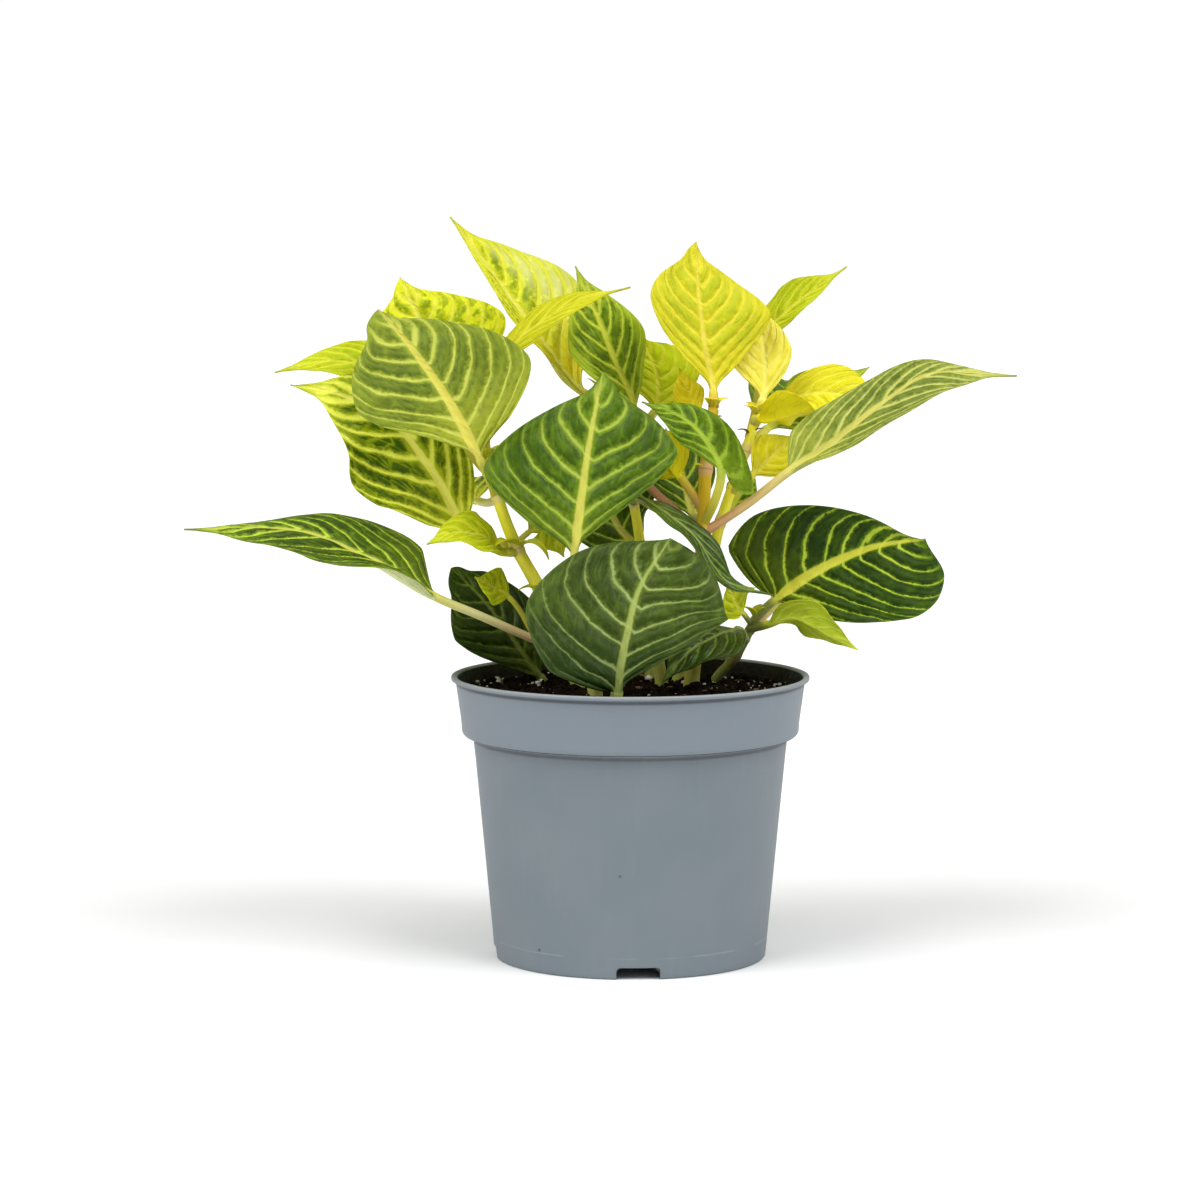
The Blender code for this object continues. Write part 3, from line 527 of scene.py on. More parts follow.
def makeStem(name, stem):
    b = stemBuild
    first = Vector(stem["path"][0])
    root = [first - Vector((0, 0, b["rootDepth"])), first - Vector((0, 0, b["rootDepth"] / 2))]
    spine = Spine(root + [Vector(p) for p in stem["path"]])
    length = spine.lengths[-1]
    nodePlaces = [spine.knots[index + 2] for index in stem["nodes"]]
    low, high = stem["radii"]
    count = round(length / b["ringStep"])
    shaft = length - high * 0.8
    domeTurns = [math.radians(angle) for angle in (25, 48, 66, 80)]
    spots = [(shaft * k / count, 1.0) for k in range(count + 1)]
    spots += [(shaft + high * 0.8 * math.sin(turn), math.cos(turn)) for turn in domeTurns]
    across = Vector((1, 0, 0))
    rings = []
    near = []
    for distance, narrowing in spots:
        tangent = spine.tangent(distance)
        across = (across - across.dot(tangent) * tangent).normalized()
        other = tangent.cross(across)
        radius = (low + (high - low) * distance / length) * narrowing
        gap = min(abs(distance - spot) for spot in nodePlaces)
        swell = max(0.0, 1 - gap / b["nodeHalf"])
        swell = swell * swell * (3 - 2 * swell)
        radius *= 1 + (b["swelling"] - 1) * swell
        centre = spine.at(distance)
        ring = []
        for j in range(b["sides"]):
            angle = math.tau * j / b["sides"]
            # four soft ribs down a square stem, and a little unevenness
            uneven = 0.03 * noise.noise(Vector((distance * 0.12, j * 0.7, low)))
            ribbed = 1 + 0.035 * math.cos(4 * angle) + uneven
            ring.append(centre + radius * ribbed * (math.cos(angle) * across + math.sin(angle) * other))
        rings.append(ring)
        near.append(math.exp(-(gap / 3.2) ** 2))
    bm, cells = rolledSkin(rings, ["nodeNear"])
    nearLayer = bm.verts.layers.float["nodeNear"]
    for vert, (column, row) in cells.items():
        vert.co = rings[row][column % b["sides"]] * mm
        vert[nearLayer] = near[row]
    closeSkin(bm)
    look = stemLooks[stem["look"]]
    newPiece(f"{name}_cane", bm, [stemFinish(name, look)], [name])


for stemName, stemData in stems.items():
    makeStem(stemName, stemData)
print("stems made:", len(stems))


# Leaves. Paths are in millimetres, from the stem outwards; the blade starts at the point numbered by base.
# Half widths are left and right of the midrib, belly is where they are widest, and face is the way the upper
# side looks. A tint changes some of its look for one leaf.
leafUsual = dict(
    root=None, base=1, half=(24, 24), belly=(0.45, 0.45), taper=(1.2, 1.3), face=(0, -0.9, 0.4), faceTip=None,
    taperRight=None, fold=(0.12, 0.12), foldTip=(0.05, 0.05), ease=1.0, curl=(0.1, 0.1), lobe=(0, 0),
    sweep=(0, 0), wave=0.8, waves=2.0, stalk=1.6, stem=None, veins=8, rise=0.42, quilt=0.8, acumen=0.3,
    look="dark", tint={})
leafBuild = dict(
    marginPower=1.6, tipHalf=0.25, ribThick=0.62, marginThick=0.3, buriedStalk=12.0, blendEnd=0.12,
    rowsPerMm=0.7, stalkStep=2.6)
leaves = dict(
    leaf_left_long=dict(
        stem="stem_left", root=110, base=2, look="deep",
        path=[(-55, -12, 126), (-70, -17, 133), (-88, -20, 145), (-118, -22, 157), (-159, -24, 158)],
        half=(27, 25), belly=(0.4, 0.25), taper=(0.9, 1.7), taperRight=(0.5, 1.7), face=(0, -0.26, 0.97),
        fold=(0.9, 0.5), foldTip=(-0.35, -0.15), ease=0.45,
        tint=dict(vein=(0.52, 0.64, 0.06), halo=(0.24, 0.37, 0.016), stalk="cream", under=(0.46, 0.52, 0.2),
                  underVein=(0.66, 0.7, 0.36))),
    leaf_left_lower=dict(
        stem="stem_left", root=149, look="broad",
        path=[(-57, 6, 153), (-72, 10, 176), (-89, 13, 196), (-107, 16, 204), (-124, 18, 207)], half=(28, 20),
        belly=(0.43, 0.5), taper=(1.0, 1.5), taperRight=(0.9, 1.5), face=(0.1, -0.93, 0.35),
        tint=dict(vein=(0.9, 0.93, 0.1), rib=(0.94, 0.9, 0.16))),
    leaf_left_upper=dict(
        stem="stem_left", root=168, look="glaucousSheen", quilt=0.7,
        path=[(-54, -14, 182), (-66, -10, 204), (-79, -4, 222), (-91, 4, 235)], half=(30, 33),
        belly=(0.55, 0.33), taper=(1.4, 0.65), taperRight=(1.1, 1.45), face=(-0.1, -0.9, 0.42)),
    leaf_left_top=dict(
        stem="stem_left", root=174, base=2, stalk=1.4, look="blotched", veins=7,
        path=[(-60, 6, 187), (-61, 9, 198), (-69, 13, 216), (-78, 18, 234), (-84, 22, 246)], half=(29, 28),
        taper=(1.2, 1.05), taperRight=(1.2, 1.4), face=(-0.05, -0.85, 0.5),
        tint=dict(dark=(0.26, 0.36, 0.002), mid=(0.38, 0.47, 0.003), halo=(0.72, 0.74, 0.012), mottle=0.44)),
    leaf_left_small=dict(
        stem="stem_left", root=176, base=3, stalk=1.3, look="lime", veins=7,
        path=[(-53, 16, 184), (-60, 26, 190), (-72, 31, 200), (-90, 32, 211), (-112, 33, 215),
              (-131, 34, 211)], half=(12, 12), taper=(1.0, 1.6), face=(0, -0.6, 0.8)),
    leaf_top=dict(
        stem="stem_back", root=200.5, look="blotched", veins=9,
        path=[(-16, 33, 203), (-31, 34, 220), (-46, 36, 241), (-66, 36, 268)], half=(11, 30),
        taper=(1.0, 1.6), face=(0.35, -0.6, 0.7), fold=(0.7, 0.1),
        tint=dict(basal=1.0, basalEnd=0.55, basalColour=(0.76, 0.62, 0.01), flankGlare=0.85)),
    leaf_yellow_cross=dict(
        stem="stem_left", root=181, base=2, stalk=1.3, look="sunlit", veins=7,
        path=[(-52, 5, 193), (-50, 4, 212), (-36, 5, 228), (-19, 7, 238), (0, 9, 243)], half=(8, 10),
        taper=(1.0, 1.7), face=(-0.2, -0.5, 0.85)),
    leaf_dark_upright=dict(
        stem="stem_back", root=193, look="bright", veins=7,
        path=[(1, 24, 198), (-5, 24, 214), (-10, 26, 227), (-20, 30, 250)], half=(18, 14), taper=(1.0, 1.5),
        face=(0.1, -0.9, 0.4), fold=(0.7, 0.5), tint=dict(halo=(0.38, 0.5, 0.016), rim=1.0)),
    leaf_light_behind=dict(
        stem="stem_back", root=186, look="lime", veins=6, path=[(9, 36, 196), (10, 40, 210), (4, 42, 224)],
        half=(12, 16), face=(0.1, -0.95, 0.3),
        tint=dict(stalk="green", dark=(0.46, 0.57, 0.004), mid=(0.56, 0.66, 0.006))),
    leaf_yellow_top=dict(
        stem="stem_golden", root=200, look="mottled", quilt=1.0,
        path=[(30, 5, 205), (27, 9, 222), (25, 13, 238), (24, 20, 259)], half=(18, 25), belly=(0.64, 0.45),
        taper=(1.3, 1.0), taperRight=(1.2, 1.6), face=(0.05, -0.93, 0.35),
        tint=dict(stalk="amber", basal=0.75, basalEnd=0.42, mottle=0.24)),
    leaf_gold_behind=dict(
        stem="stem_golden", root=188, look="golden", veins=5,
        path=[(25, 12, 196), (21, 16, 204), (18, 19, 213)], half=(6, 6), tint=dict(stalk="amber")),
    leaf_right_point=dict(
        stem="stem_side", root=189, base=2, look="lime", veins=7,
        path=[(47, 26, 207), (45, 34, 219), (59, 30, 235), (79, 24, 250)], half=(10, 7), taper=(1.0, 1.6),
        face=(-0.2, -0.7, 0.7)),
    leaf_pale_yellow=dict(
        stem="stem_side", root=197, look="pale", veins=6,
        path=[(48, 9, 202), (49, 12, 213), (48, 16, 225), (44, 20, 238)], half=(14, 10),
        face=(0, -0.95, 0.25)),
    leaf_yellow_right=dict(
        stem="stem_side", root=193, look="yellow", veins=7,
        path=[(53, 18, 200), (66, 16, 204), (79, 10, 204), (92, 4, 201)], half=(13, 13),
        face=(0, -0.75, 0.65)),
    leaf_golden_fold=dict(
        stem="stem_side", root=194, look="golden", veins=5,
        path=[(47, 1, 196), (52, -3, 197), (60, -4, 199), (68, -3, 198)], half=(10, 12),
        face=(0.1, 0.55, 0.8)),
    leaf_right_long=dict(
        stem="stem_golden", root=154, base=2, look="greygreen", veins=9,
        path=[(42, -12, 166), (57, -14, 178), (72, -17, 188), (89, -19, 202), (105, -18, 212),
              (138, -12, 212)], half=(16, 17), belly=(0.27, 0.5), taper=(0.5, 1.2), taperRight=(0.8, 1.5),
        face=(-0.5, -0.5, 0.7), faceTip=(0, -0.35, 0.95), fold=(0.7, 0.45), foldTip=(-0.1, -0.25), ease=0.6,
        lobe=(6, 0), tint=dict(stalk="pink")),
    leaf_dark_behind=dict(
        stem="stem_side", root=184, look="bright", veins=6,
        path=[(50, 18, 191), (64, 24, 199), (88, 30, 213)], half=(12, 12)),
    leaf_mid_right=dict(
        stem="stem_golden", root=159, base=2, look="fresh", veins=6,
        path=[(30, -15, 167), (32, -20, 179), (27, -19, 189), (17, -12, 198), (4, -3, 202)], half=(8, 9),
        belly=(0.45, 0.4), taper=(0.9, 1.3), taperRight=(0.5, 1.3), face=(-0.1, -0.9, 0.4), fold=(0.1, -0.2),
        foldTip=(0.05, 0.0), lobe=(2, 24), sweep=(0, -6)),
    leaf_yellow_low=dict(
        stem="stem_side", root=169, look="yellow", veins=5, path=[(44, 5, 175), (51, 3, 182), (60, 2, 190)],
        half=(9, 9)),
    leaf_yellow_under=dict(
        stem="stem_golden", root=163, look="golden", veins=5,
        path=[(18, -6, 175), (12, -4, 183), (6, 0, 191)], half=(12, 12), taper=(0.9, 1.2),
        face=(0.3, 0.8, 0.4), tint=dict(stalk="amber")),
    leaf_centre=dict(
        stem="stem_front", root=132, veins=7, quilt=1.1,
        path=[(-20, -28, 149), (-18, -24, 166), (-15, -18, 187), (-10, -8, 213)], half=(36, 32),
        belly=(0.38, 0.6), taper=(1.0, 1.5), taperRight=(1.5, 1.1), face=(0, -0.95, 0.3),
        tint=dict(ribHalf=1.8)),
    leaf_front_low=dict(
        base=2, stalk=2.2, look="front", veins=7, quilt=1.0, acumen=0.0,
        path=[(-6, -42, 92), (-5, -50, 103), (-2, -44, 120), (3, -36, 138), (14, -28, 155)], half=(37, 34),
        belly=(0.42, 0.61), taper=(0.5, 1.2), taperRight=(1.2, 0.36), lobe=(7, 0), tint=dict(stalk="green")),
    leaf_right_big=dict(
        stem="stem_right", root=123, look="deepest", quilt=0.9, acumen=0.1,
        path=[(53, 4, 130), (67, 2, 140), (87, 0, 149), (107, 2, 152)], half=(29, 30), belly=(0.26, 0.62),
        taper=(0.32, 1.6), taperRight=(0.7, 0.6), face=(0, -0.95, 0.3), lobe=(14, 2), sweep=(0, 22),
        tint=dict(stalk="green")),
    leaf_right_under=dict(
        stem="stem_right", root=118, look="lime", veins=6,
        path=[(50, 2, 121), (58, -3, 125), (70, -7, 120), (82, -9, 113)], half=(9, 9), face=(0.15, 0.7, 0.65),
        tint=dict(stalk="green", under=(0.4, 0.52, 0.015), underVein=(0.56, 0.64, 0.05))),
    leaf_left_floor=dict(
        base=2, look="shade", veins=7,
        path=[(-29, 30, 92), (-33, 24, 99), (-43, 17, 114), (-53, 12, 128), (-65, 6, 141)], half=(21, 14),
        belly=(0.7, 0.45), taper=(1.5, 0.7), face=(-0.2, -0.7, 0.7), lobe=(4, 4), tint=dict(stalk="green")),
    leaf_left_yellow=dict(
        stem="stem_left", root=148, look="lime", veins=6,
        path=[(-45, -6, 148), (-52, -12, 154), (-63, -16, 156), (-73, -18, 152)], half=(11, 11),
        taper=(0.8, 1.4), face=(0, -0.55, 0.85)),
    leaf_left_tiny=dict(
        stem="stem_left", root=101, base=2, stalk=1.0, look="lime", veins=5,
        path=[(-32, 6, 112), (-44, 0, 131), (-56, -6, 139)], half=(8, 8), taper=(0.9, 1.6),
        face=(0.2, -0.8, 0.6)),
    leaf_edge_long=dict(
        stem="stem_centre", root=166, look="shade",
        path=[(3, -10, 168), (22, -21, 156), (35, -24, 139), (51, -20, 134)], half=(9, 10), taper=(0.9, 1.5),
        face=(0.5, -0.35, 0.8), tint=dict(stalk="green")),
    leaf_dark_hidden=dict(
        stem="stem_centre", root=144, look="deep", veins=6,
        path=[(5, 12, 146), (-4, 15, 155), (-9, 17, 168), (-11, 18, 187)], half=(18, 17),
        tint=dict(stalk="green")),
    leaf_small_golden=dict(
        stem="stem_left", root=150, stalk=1.1, look="lime", veins=5,
        path=[(-37, 7, 154), (-33, 8, 157), (-28, 7, 153), (-24, 6, 145)], half=(9, 10),
        face=(0.3, -0.8, 0.5), tint=dict(kind="yellow")),
    leaf_front_curved=dict(
        stem="stem_right", root=114, look="shade", veins=7,
        path=[(39, 2, 119), (30, -14, 118), (20, -22, 113), (11, -26, 103)], half=(13, 12),
        face=(-0.2, -0.7, 0.65), tint=dict(stalk="green")),
    leaf_tiny_right=dict(
        stem="stem_right", root=119.5, stalk=1.0, look="lime", veins=4,
        path=[(41, 2, 125), (38, -5, 130), (35, -10, 137)], half=(7, 9), tint=dict(stalk="green")),
    leaf_dark_inner=dict(
        stem="stem_golden", root=158, look="deep", veins=6, path=[(23, 5, 160), (19, 14, 175), (13, 20, 191)],
        half=(13, 12), tint=dict(stalk="green")),
    leaf_pale_edge=dict(
        stem="stem_side", root=158, stalk=1.1, look="bright", veins=4,
        path=[(36, 12, 162), (41, 16, 169), (46, 20, 176)], half=(6, 6), tint=dict(stalk="green")),
    leaf_back_left=dict(
        stem="stem_left", root=167, look="broad",
        path=[(-56, 27, 164), (-67, 46, 168), (-77, 65, 166), (-86, 85, 160)], half=(23, 23), face=(0, 0, 1)),
    leaf_back_low=dict(
        stem="stem_back", root=118, look="deep", path=[(4, 42, 122), (1, 62, 124), (-3, 100, 108)],
        face=(0, 0.2, 1), tint=dict(stalk="green")),
    leaf_back_right=dict(
        stem="stem_right", root=117, path=[(53, 26, 125), (64, 45, 135), (76, 65, 138), (89, 85, 133)],
        half=(22, 22), face=(0, 0, 1), tint=dict(stalk="pink")),
    leaf_behind_centre=dict(
        stem="stem_golden", root=155, base=3, look="deep", veins=6,
        path=[(16, -7, 163), (6, -3, 172), (-1, 0, 179), (-16, 6, 183), (-33, 12, 184)], half=(15, 15),
        tint=dict(stalk="rose")),
    leaf_back_centre=dict(
        stem="stem_back", root=187, path=[(-8, 44, 187), (-11, 65, 188), (-15, 90, 178), (-19, 112, 161)],
        half=(25, 25), face=(0, 0.25, 1), tint=dict(stalk="pink")),
    leaf_back_top=dict(
        stem="stem_back", root=196, look="blotched", veins=6,
        path=[(-7, 44, 206), (-4, 62, 214), (0, 90, 219)], half=(13, 13), face=(0, -0.1, 1)),
    leaf_back_high_right=dict(
        stem="stem_side", root=178, look="fresh", veins=7, path=[(47, 28, 194), (60, 52, 205), (68, 85, 203)],
        half=(16, 16), face=(0, 0, 1), tint=dict(kind="green")),
    leaf_back_low_left=dict(
        stem="stem_left", root=113, look="deep", veins=7,
        path=[(-31, 24, 118), (-41, 45, 117), (-53, 80, 107)], half=(19, 19), face=(0, 0, 1),
        tint=dict(stalk="cream")),
    leaf_back_low_right=dict(
        stem="stem_right", root=105, look="deep", veins=7, path=[(31, 40, 109), (24, 60, 110), (20, 95, 101)],
        half=(15, 15), face=(0, 0, 1), tint=dict(stalk="green")),
    leaf_back_mid_left=dict(
        stem="stem_back", root=171, look="broad", veins=7,
        path=[(-11, 48, 168), (-22, 62, 169), (-38, 80, 168)], half=(20, 20), face=(0, 0.1, 1),
        tint=dict(kind="green")),
)

# How a blade is coloured. Between the veins it is dark, or mid in patches; halo is the paler green beside
# each vein and in the small veins; vein and rib are the laterals and the midrib. Widths are in millimetres.
leafLook = dict(
    dark=(0.042, 0.092, 0.002), mid=(0.078, 0.15, 0.004), halo=(0.2, 0.32, 0.014), vein=(0.38, 0.47, 0.06),
    rib=(0.6, 0.58, 0.1), haloWidth=1.9, haloAmount=0.9, lateral=0.62, ribHalf=2.4, network=0.5, veinShade=0.5,
    mottle=0.0, spot=3.0, stripe=0.3, flankGlare=0.0, flankGlareColour=(0.86, 0.86, 0.3), footShadeOverVeins=0.0, basal=0.25,
    basalEnd=0.4, basalColour=(0.26, 0.34, 0.015), rim=0.0, fade=0.9, rough=0.42, specular=0.13,
    under=(0.2, 0.28, 0.05), underVein=(0.46, 0.5, 0.15), stalk="gold", kind="dark")
leafLooks = dict(
    dark=dict(),
    # front: its near-black basal colour is painted shade at the foot of the blade
    front=dict(
        dark=(0.033, 0.06, 0.004), mid=(0.058, 0.098, 0.009), halo=(0.14, 0.21, 0.025),
        vein=(0.31, 0.39, 0.12), rib=(0.36, 0.43, 0.1), haloWidth=1.6, lateral=0.5, ribHalf=1.6, network=0.45,
        haloAmount=0.8, basal=0.8, basalEnd=0.5, basalColour=(0.01, 0.028, 0.001), footShadeOverVeins=0.7, fade=0.9,
        kind="sheen"),
    deep=dict(
        dark=(0.03, 0.064, 0.001), mid=(0.052, 0.1, 0.002), halo=(0.13, 0.23, 0.006), vein=(0.44, 0.54, 0.06),
        lateral=0.42, haloWidth=1.3, ribHalf=1.5, network=0.6, fade=0.6),
    deepest=dict(
        dark=(0.015, 0.042, 0.001), mid=(0.032, 0.072, 0.001), halo=(0.1, 0.2, 0.004), vein=(0.5, 0.62, 0.05),
        rib=(0.72, 0.7, 0.07), lateral=0.46, haloWidth=1.2, ribHalf=2.2, network=0.35, fade=0.55),
    shade=dict(
        dark=(0.02, 0.048, 0.001), mid=(0.04, 0.078, 0.002), halo=(0.08, 0.15, 0.004),
        vein=(0.18, 0.27, 0.04), rib=(0.28, 0.34, 0.07), lateral=0.32, haloWidth=1.0, ribHalf=0.9,
        network=0.3, fade=0.8, rough=0.32, specular=0.3),
    broad=dict(
        dark=(0.042, 0.092, 0.001), mid=(0.09, 0.165, 0.002), halo=(0.48, 0.57, 0.009),
        vein=(0.8, 0.84, 0.06), rib=(0.84, 0.8, 0.1), lateral=0.95, haloWidth=1.8, ribHalf=1.8, network=1.0,
        basal=0.3, basalColour=(0.58, 0.62, 0.01), veinShade=0.3, fade=0.15),
    # glaucous and greygreen: grey-green blades whose paler, greyer colours are partly their own and partly
    # painted sheen
    glaucousSheen=dict(
        dark=(0.105, 0.155, 0.012), mid=(0.165, 0.225, 0.016), halo=(0.31, 0.39, 0.03),
        vein=(0.54, 0.58, 0.09), rib=(0.68, 0.62, 0.1), lateral=0.6, haloWidth=1.7, ribHalf=2.1, network=0.5,
        basal=0.75, basalEnd=0.5, basalColour=(0.42, 0.46, 0.03), rim=0.35, fade=0.35, kind="sheen"),
    greygreen=dict(
        dark=(0.1, 0.155, 0.012), mid=(0.19, 0.25, 0.035), halo=(0.34, 0.4, 0.06), vein=(0.56, 0.58, 0.14),
        rib=(0.64, 0.6, 0.13), lateral=0.5, haloWidth=1.3, ribHalf=1.9, network=0.5, basal=0.6,
        basalColour=(0.42, 0.48, 0.05), rim=0.1, fade=0.35, kind="sheen"),
    bright=dict(
        dark=(0.078, 0.142, 0.003), mid=(0.135, 0.225, 0.005), halo=(0.3, 0.42, 0.01), vein=(0.52, 0.6, 0.06),
        rib=(0.62, 0.64, 0.07), lateral=0.42, haloWidth=1.2, ribHalf=1.4, network=0.7, rim=0.8, basal=0.25,
        fade=0.4),
    fresh=dict(
        dark=(0.055, 0.11, 0.001), mid=(0.095, 0.175, 0.002), halo=(0.16, 0.27, 0.005),
        vein=(0.28, 0.41, 0.03), rib=(0.34, 0.46, 0.04), lateral=0.38, haloWidth=1.2, ribHalf=1.0,
        network=0.5, rim=0.1, fade=0.5),
    blotched=dict(
        dark=(0.2, 0.29, 0.002), mid=(0.32, 0.41, 0.003), halo=(0.66, 0.69, 0.014), vein=(0.76, 0.76, 0.06),
        rib=(0.8, 0.76, 0.12), lateral=0.55, haloWidth=1.4, haloAmount=1.0, ribHalf=1.9, network=1.0,
        mottle=0.38, stripe=0.14, basal=0.85, basalColour=(0.7, 0.6, 0.008), rim=0.2, veinShade=0.1, fade=0.0,
        under=(0.55, 0.56, 0.04), underVein=(0.7, 0.66, 0.08), kind="lime"),
    lime=dict(
        dark=(0.38, 0.47, 0.003), mid=(0.48, 0.56, 0.005), halo=(0.56, 0.62, 0.01), vein=(0.64, 0.68, 0.03),
        rib=(0.7, 0.71, 0.06), lateral=0.4, haloWidth=1.4, ribHalf=0.9, network=0.5, mottle=0.4, basal=0.6,
        basalColour=(0.64, 0.65, 0.008), veinShade=0.1, fade=0.2, under=(0.5, 0.54, 0.01),
        underVein=(0.62, 0.62, 0.04), kind="lime"),
    sunlit=dict(
        dark=(0.44, 0.47, 0.003), mid=(0.53, 0.54, 0.005), halo=(0.62, 0.6, 0.008), vein=(0.66, 0.64, 0.03),
        rib=(0.7, 0.66, 0.05), lateral=0.4, haloWidth=1.4, ribHalf=0.9, network=0.4, mottle=0.4, basal=0.4,
        basalColour=(0.66, 0.62, 0.008), veinShade=0.08, fade=0.3, under=(0.56, 0.54, 0.006),
        underVein=(0.66, 0.6, 0.02), kind="yellow"),
    mottled=dict(
        dark=(0.43, 0.48, 0.01), mid=(0.5, 0.53, 0.013), halo=(0.68, 0.62, 0.018), vein=(0.75, 0.67, 0.04),
        rib=(0.76, 0.66, 0.08), lateral=0.42, haloWidth=1.2, ribHalf=1.2, network=0.8, mottle=0.32,
        stripe=0.18, basal=1.0, basalEnd=0.5, basalColour=(0.73, 0.63, 0.015), rim=0.5, veinShade=0.05, fade=0.3,
        under=(0.66, 0.56, 0.01), underVein=(0.74, 0.6, 0.04), kind="yellow"),
    yellow=dict(
        dark=(0.68, 0.63, 0.006), mid=(0.74, 0.68, 0.01), halo=(0.79, 0.72, 0.02), vein=(0.84, 0.77, 0.06),
        rib=(0.84, 0.76, 0.08), lateral=0.4, haloWidth=1.6, ribHalf=0.9, network=0.4, mottle=0.4, fade=0.2,
        basal=0.2, basalColour=(0.78, 0.66, 0.01), veinShade=0.05, under=(0.68, 0.6, 0.004),
        underVein=(0.76, 0.66, 0.02), kind="yellow"),
    pale=dict(
        dark=(0.86, 0.77, 0.05), mid=(0.9, 0.8, 0.08), halo=(0.92, 0.83, 0.11), vein=(0.93, 0.85, 0.15),
        rib=(0.93, 0.85, 0.17), lateral=0.4, haloWidth=1.6, ribHalf=0.8, network=0.4, mottle=0.5, fade=0.2,
        basal=0.4, basalColour=(0.82, 0.68, 0.01), veinShade=0.03, under=(0.78, 0.68, 0.02),
        underVein=(0.82, 0.72, 0.05), kind="yellow"),
    golden=dict(
        dark=(0.64, 0.55, 0.002), mid=(0.7, 0.6, 0.003), halo=(0.74, 0.63, 0.006), vein=(0.78, 0.68, 0.02),
        rib=(0.78, 0.66, 0.02), lateral=0.4, haloWidth=1.6, ribHalf=0.8, network=0.4, mottle=0.4, fade=0.2,
        basal=0.2, basalColour=(0.72, 0.56, 0.005), veinShade=0.05, under=(0.84, 0.74, 0.002),
        underVein=(0.88, 0.78, 0.01), kind="yellow"),
)
stalkLooks = dict(
    gold=((0.56, 0.50, 0.05), (0.66, 0.63, 0.07)), amber=((0.58, 0.34, 0.09), (0.70, 0.52, 0.04)),
    cream=((0.66, 0.40, 0.22), (0.70, 0.68, 0.28)), pink=((0.70, 0.38, 0.17), (0.72, 0.56, 0.19)),
    rose=((0.52, 0.16, 0.10), (0.56, 0.30, 0.14)), green=((0.28, 0.31, 0.09), (0.34, 0.40, 0.10)))


# What the upper and the under side share: where the veins are, as masks from 0 to 1
def veinMasks(finish, look, seed):
    along, across = finish.onBlade()
    reach = ((across - 0.5) * 2).size()
    wobble = finish.noise(9.0, 2.0, shift=seed) - 0.5
    ragged = finish.noise(2.0, 3.0, shift=seed + 3) - 0.5
    fine = finish.noise(0.8, 2.0, shift=seed + 5) - 0.5
    patch = finish.noise(5.5, 3.0, shift=seed + 9)
    phase = finish.attribute("veinPhase") + wobble * 0.45 + ragged * 0.14
    pitch = finish.attribute("veinPitch")
    # 1 on a lateral, 0 halfway between two
    near = (phase.math("FRACT", phase) - 0.5).size() * 2
    lateral = (1 - near) * 0.5 * pitch
    taperedRib = look["ribHalf"] * ((1 - along).most(0.0) ** 0.6)
    rib = finish.attribute("ribDistance").size() - taperedRib - 0.1
    tipFade = 1 - along.step(0.84, 0.99)
    width = look["lateral"] * (1 - 0.70 * reach) * (0.55 + 0.9 * patch)
    vein = 1 - (lateral + fine * 0.6 + ragged * 0.5).step(width * 0.4, width * 1.6)
    vein = vein * tipFade * (0.25 + 1.4 * patch)
    edge = width + look["haloWidth"] * (1 - 0.35 * reach)
    halo = 1 - (lateral.least(rib * 0.8 + 0.5) + ragged * 2.4 + fine * 0.9).step(width * 0.6, edge)
    # small veins branch like rungs between the laterals
    rungPlace = {"X": phase * 2.0, "Y": finish.attribute("ribDistance") * 0.27 + phase * 0.7, "Z": seed}
    rungAt = finish.node("ShaderNodeCombineXYZ", {}, rungPlace)
    edges = {"feature": "DISTANCE_TO_EDGE"}
    rungs = finish.node("ShaderNodeTexVoronoi", edges, {"Vector": rungAt, "Scale": 1.0})
    rung = 1 - (rungs + fine * 0.10 + ragged * 0.08).step(0.02, 0.15)
    rung = rung * (0.25 + 0.75 * patch.step(0.38, 0.6))
    loop = 1 - ((reach - 0.90 - 0.05 * wobble) * 28 + fine * 2).size().step(0.3, 1.4)
    ribMask = 1 - (rib + fine * 0.5 + ragged * 0.4).step(-0.5, 0.3)
    return dict(along=along, across=across, reach=reach, wobble=wobble, ragged=ragged, patch=patch,
                near=near, lateral=lateral, rib=rib, vein=vein, halo=halo, rung=rung,
                cell=rungs.step(0.0, 0.5), loop=loop, ribMask=ribMask)


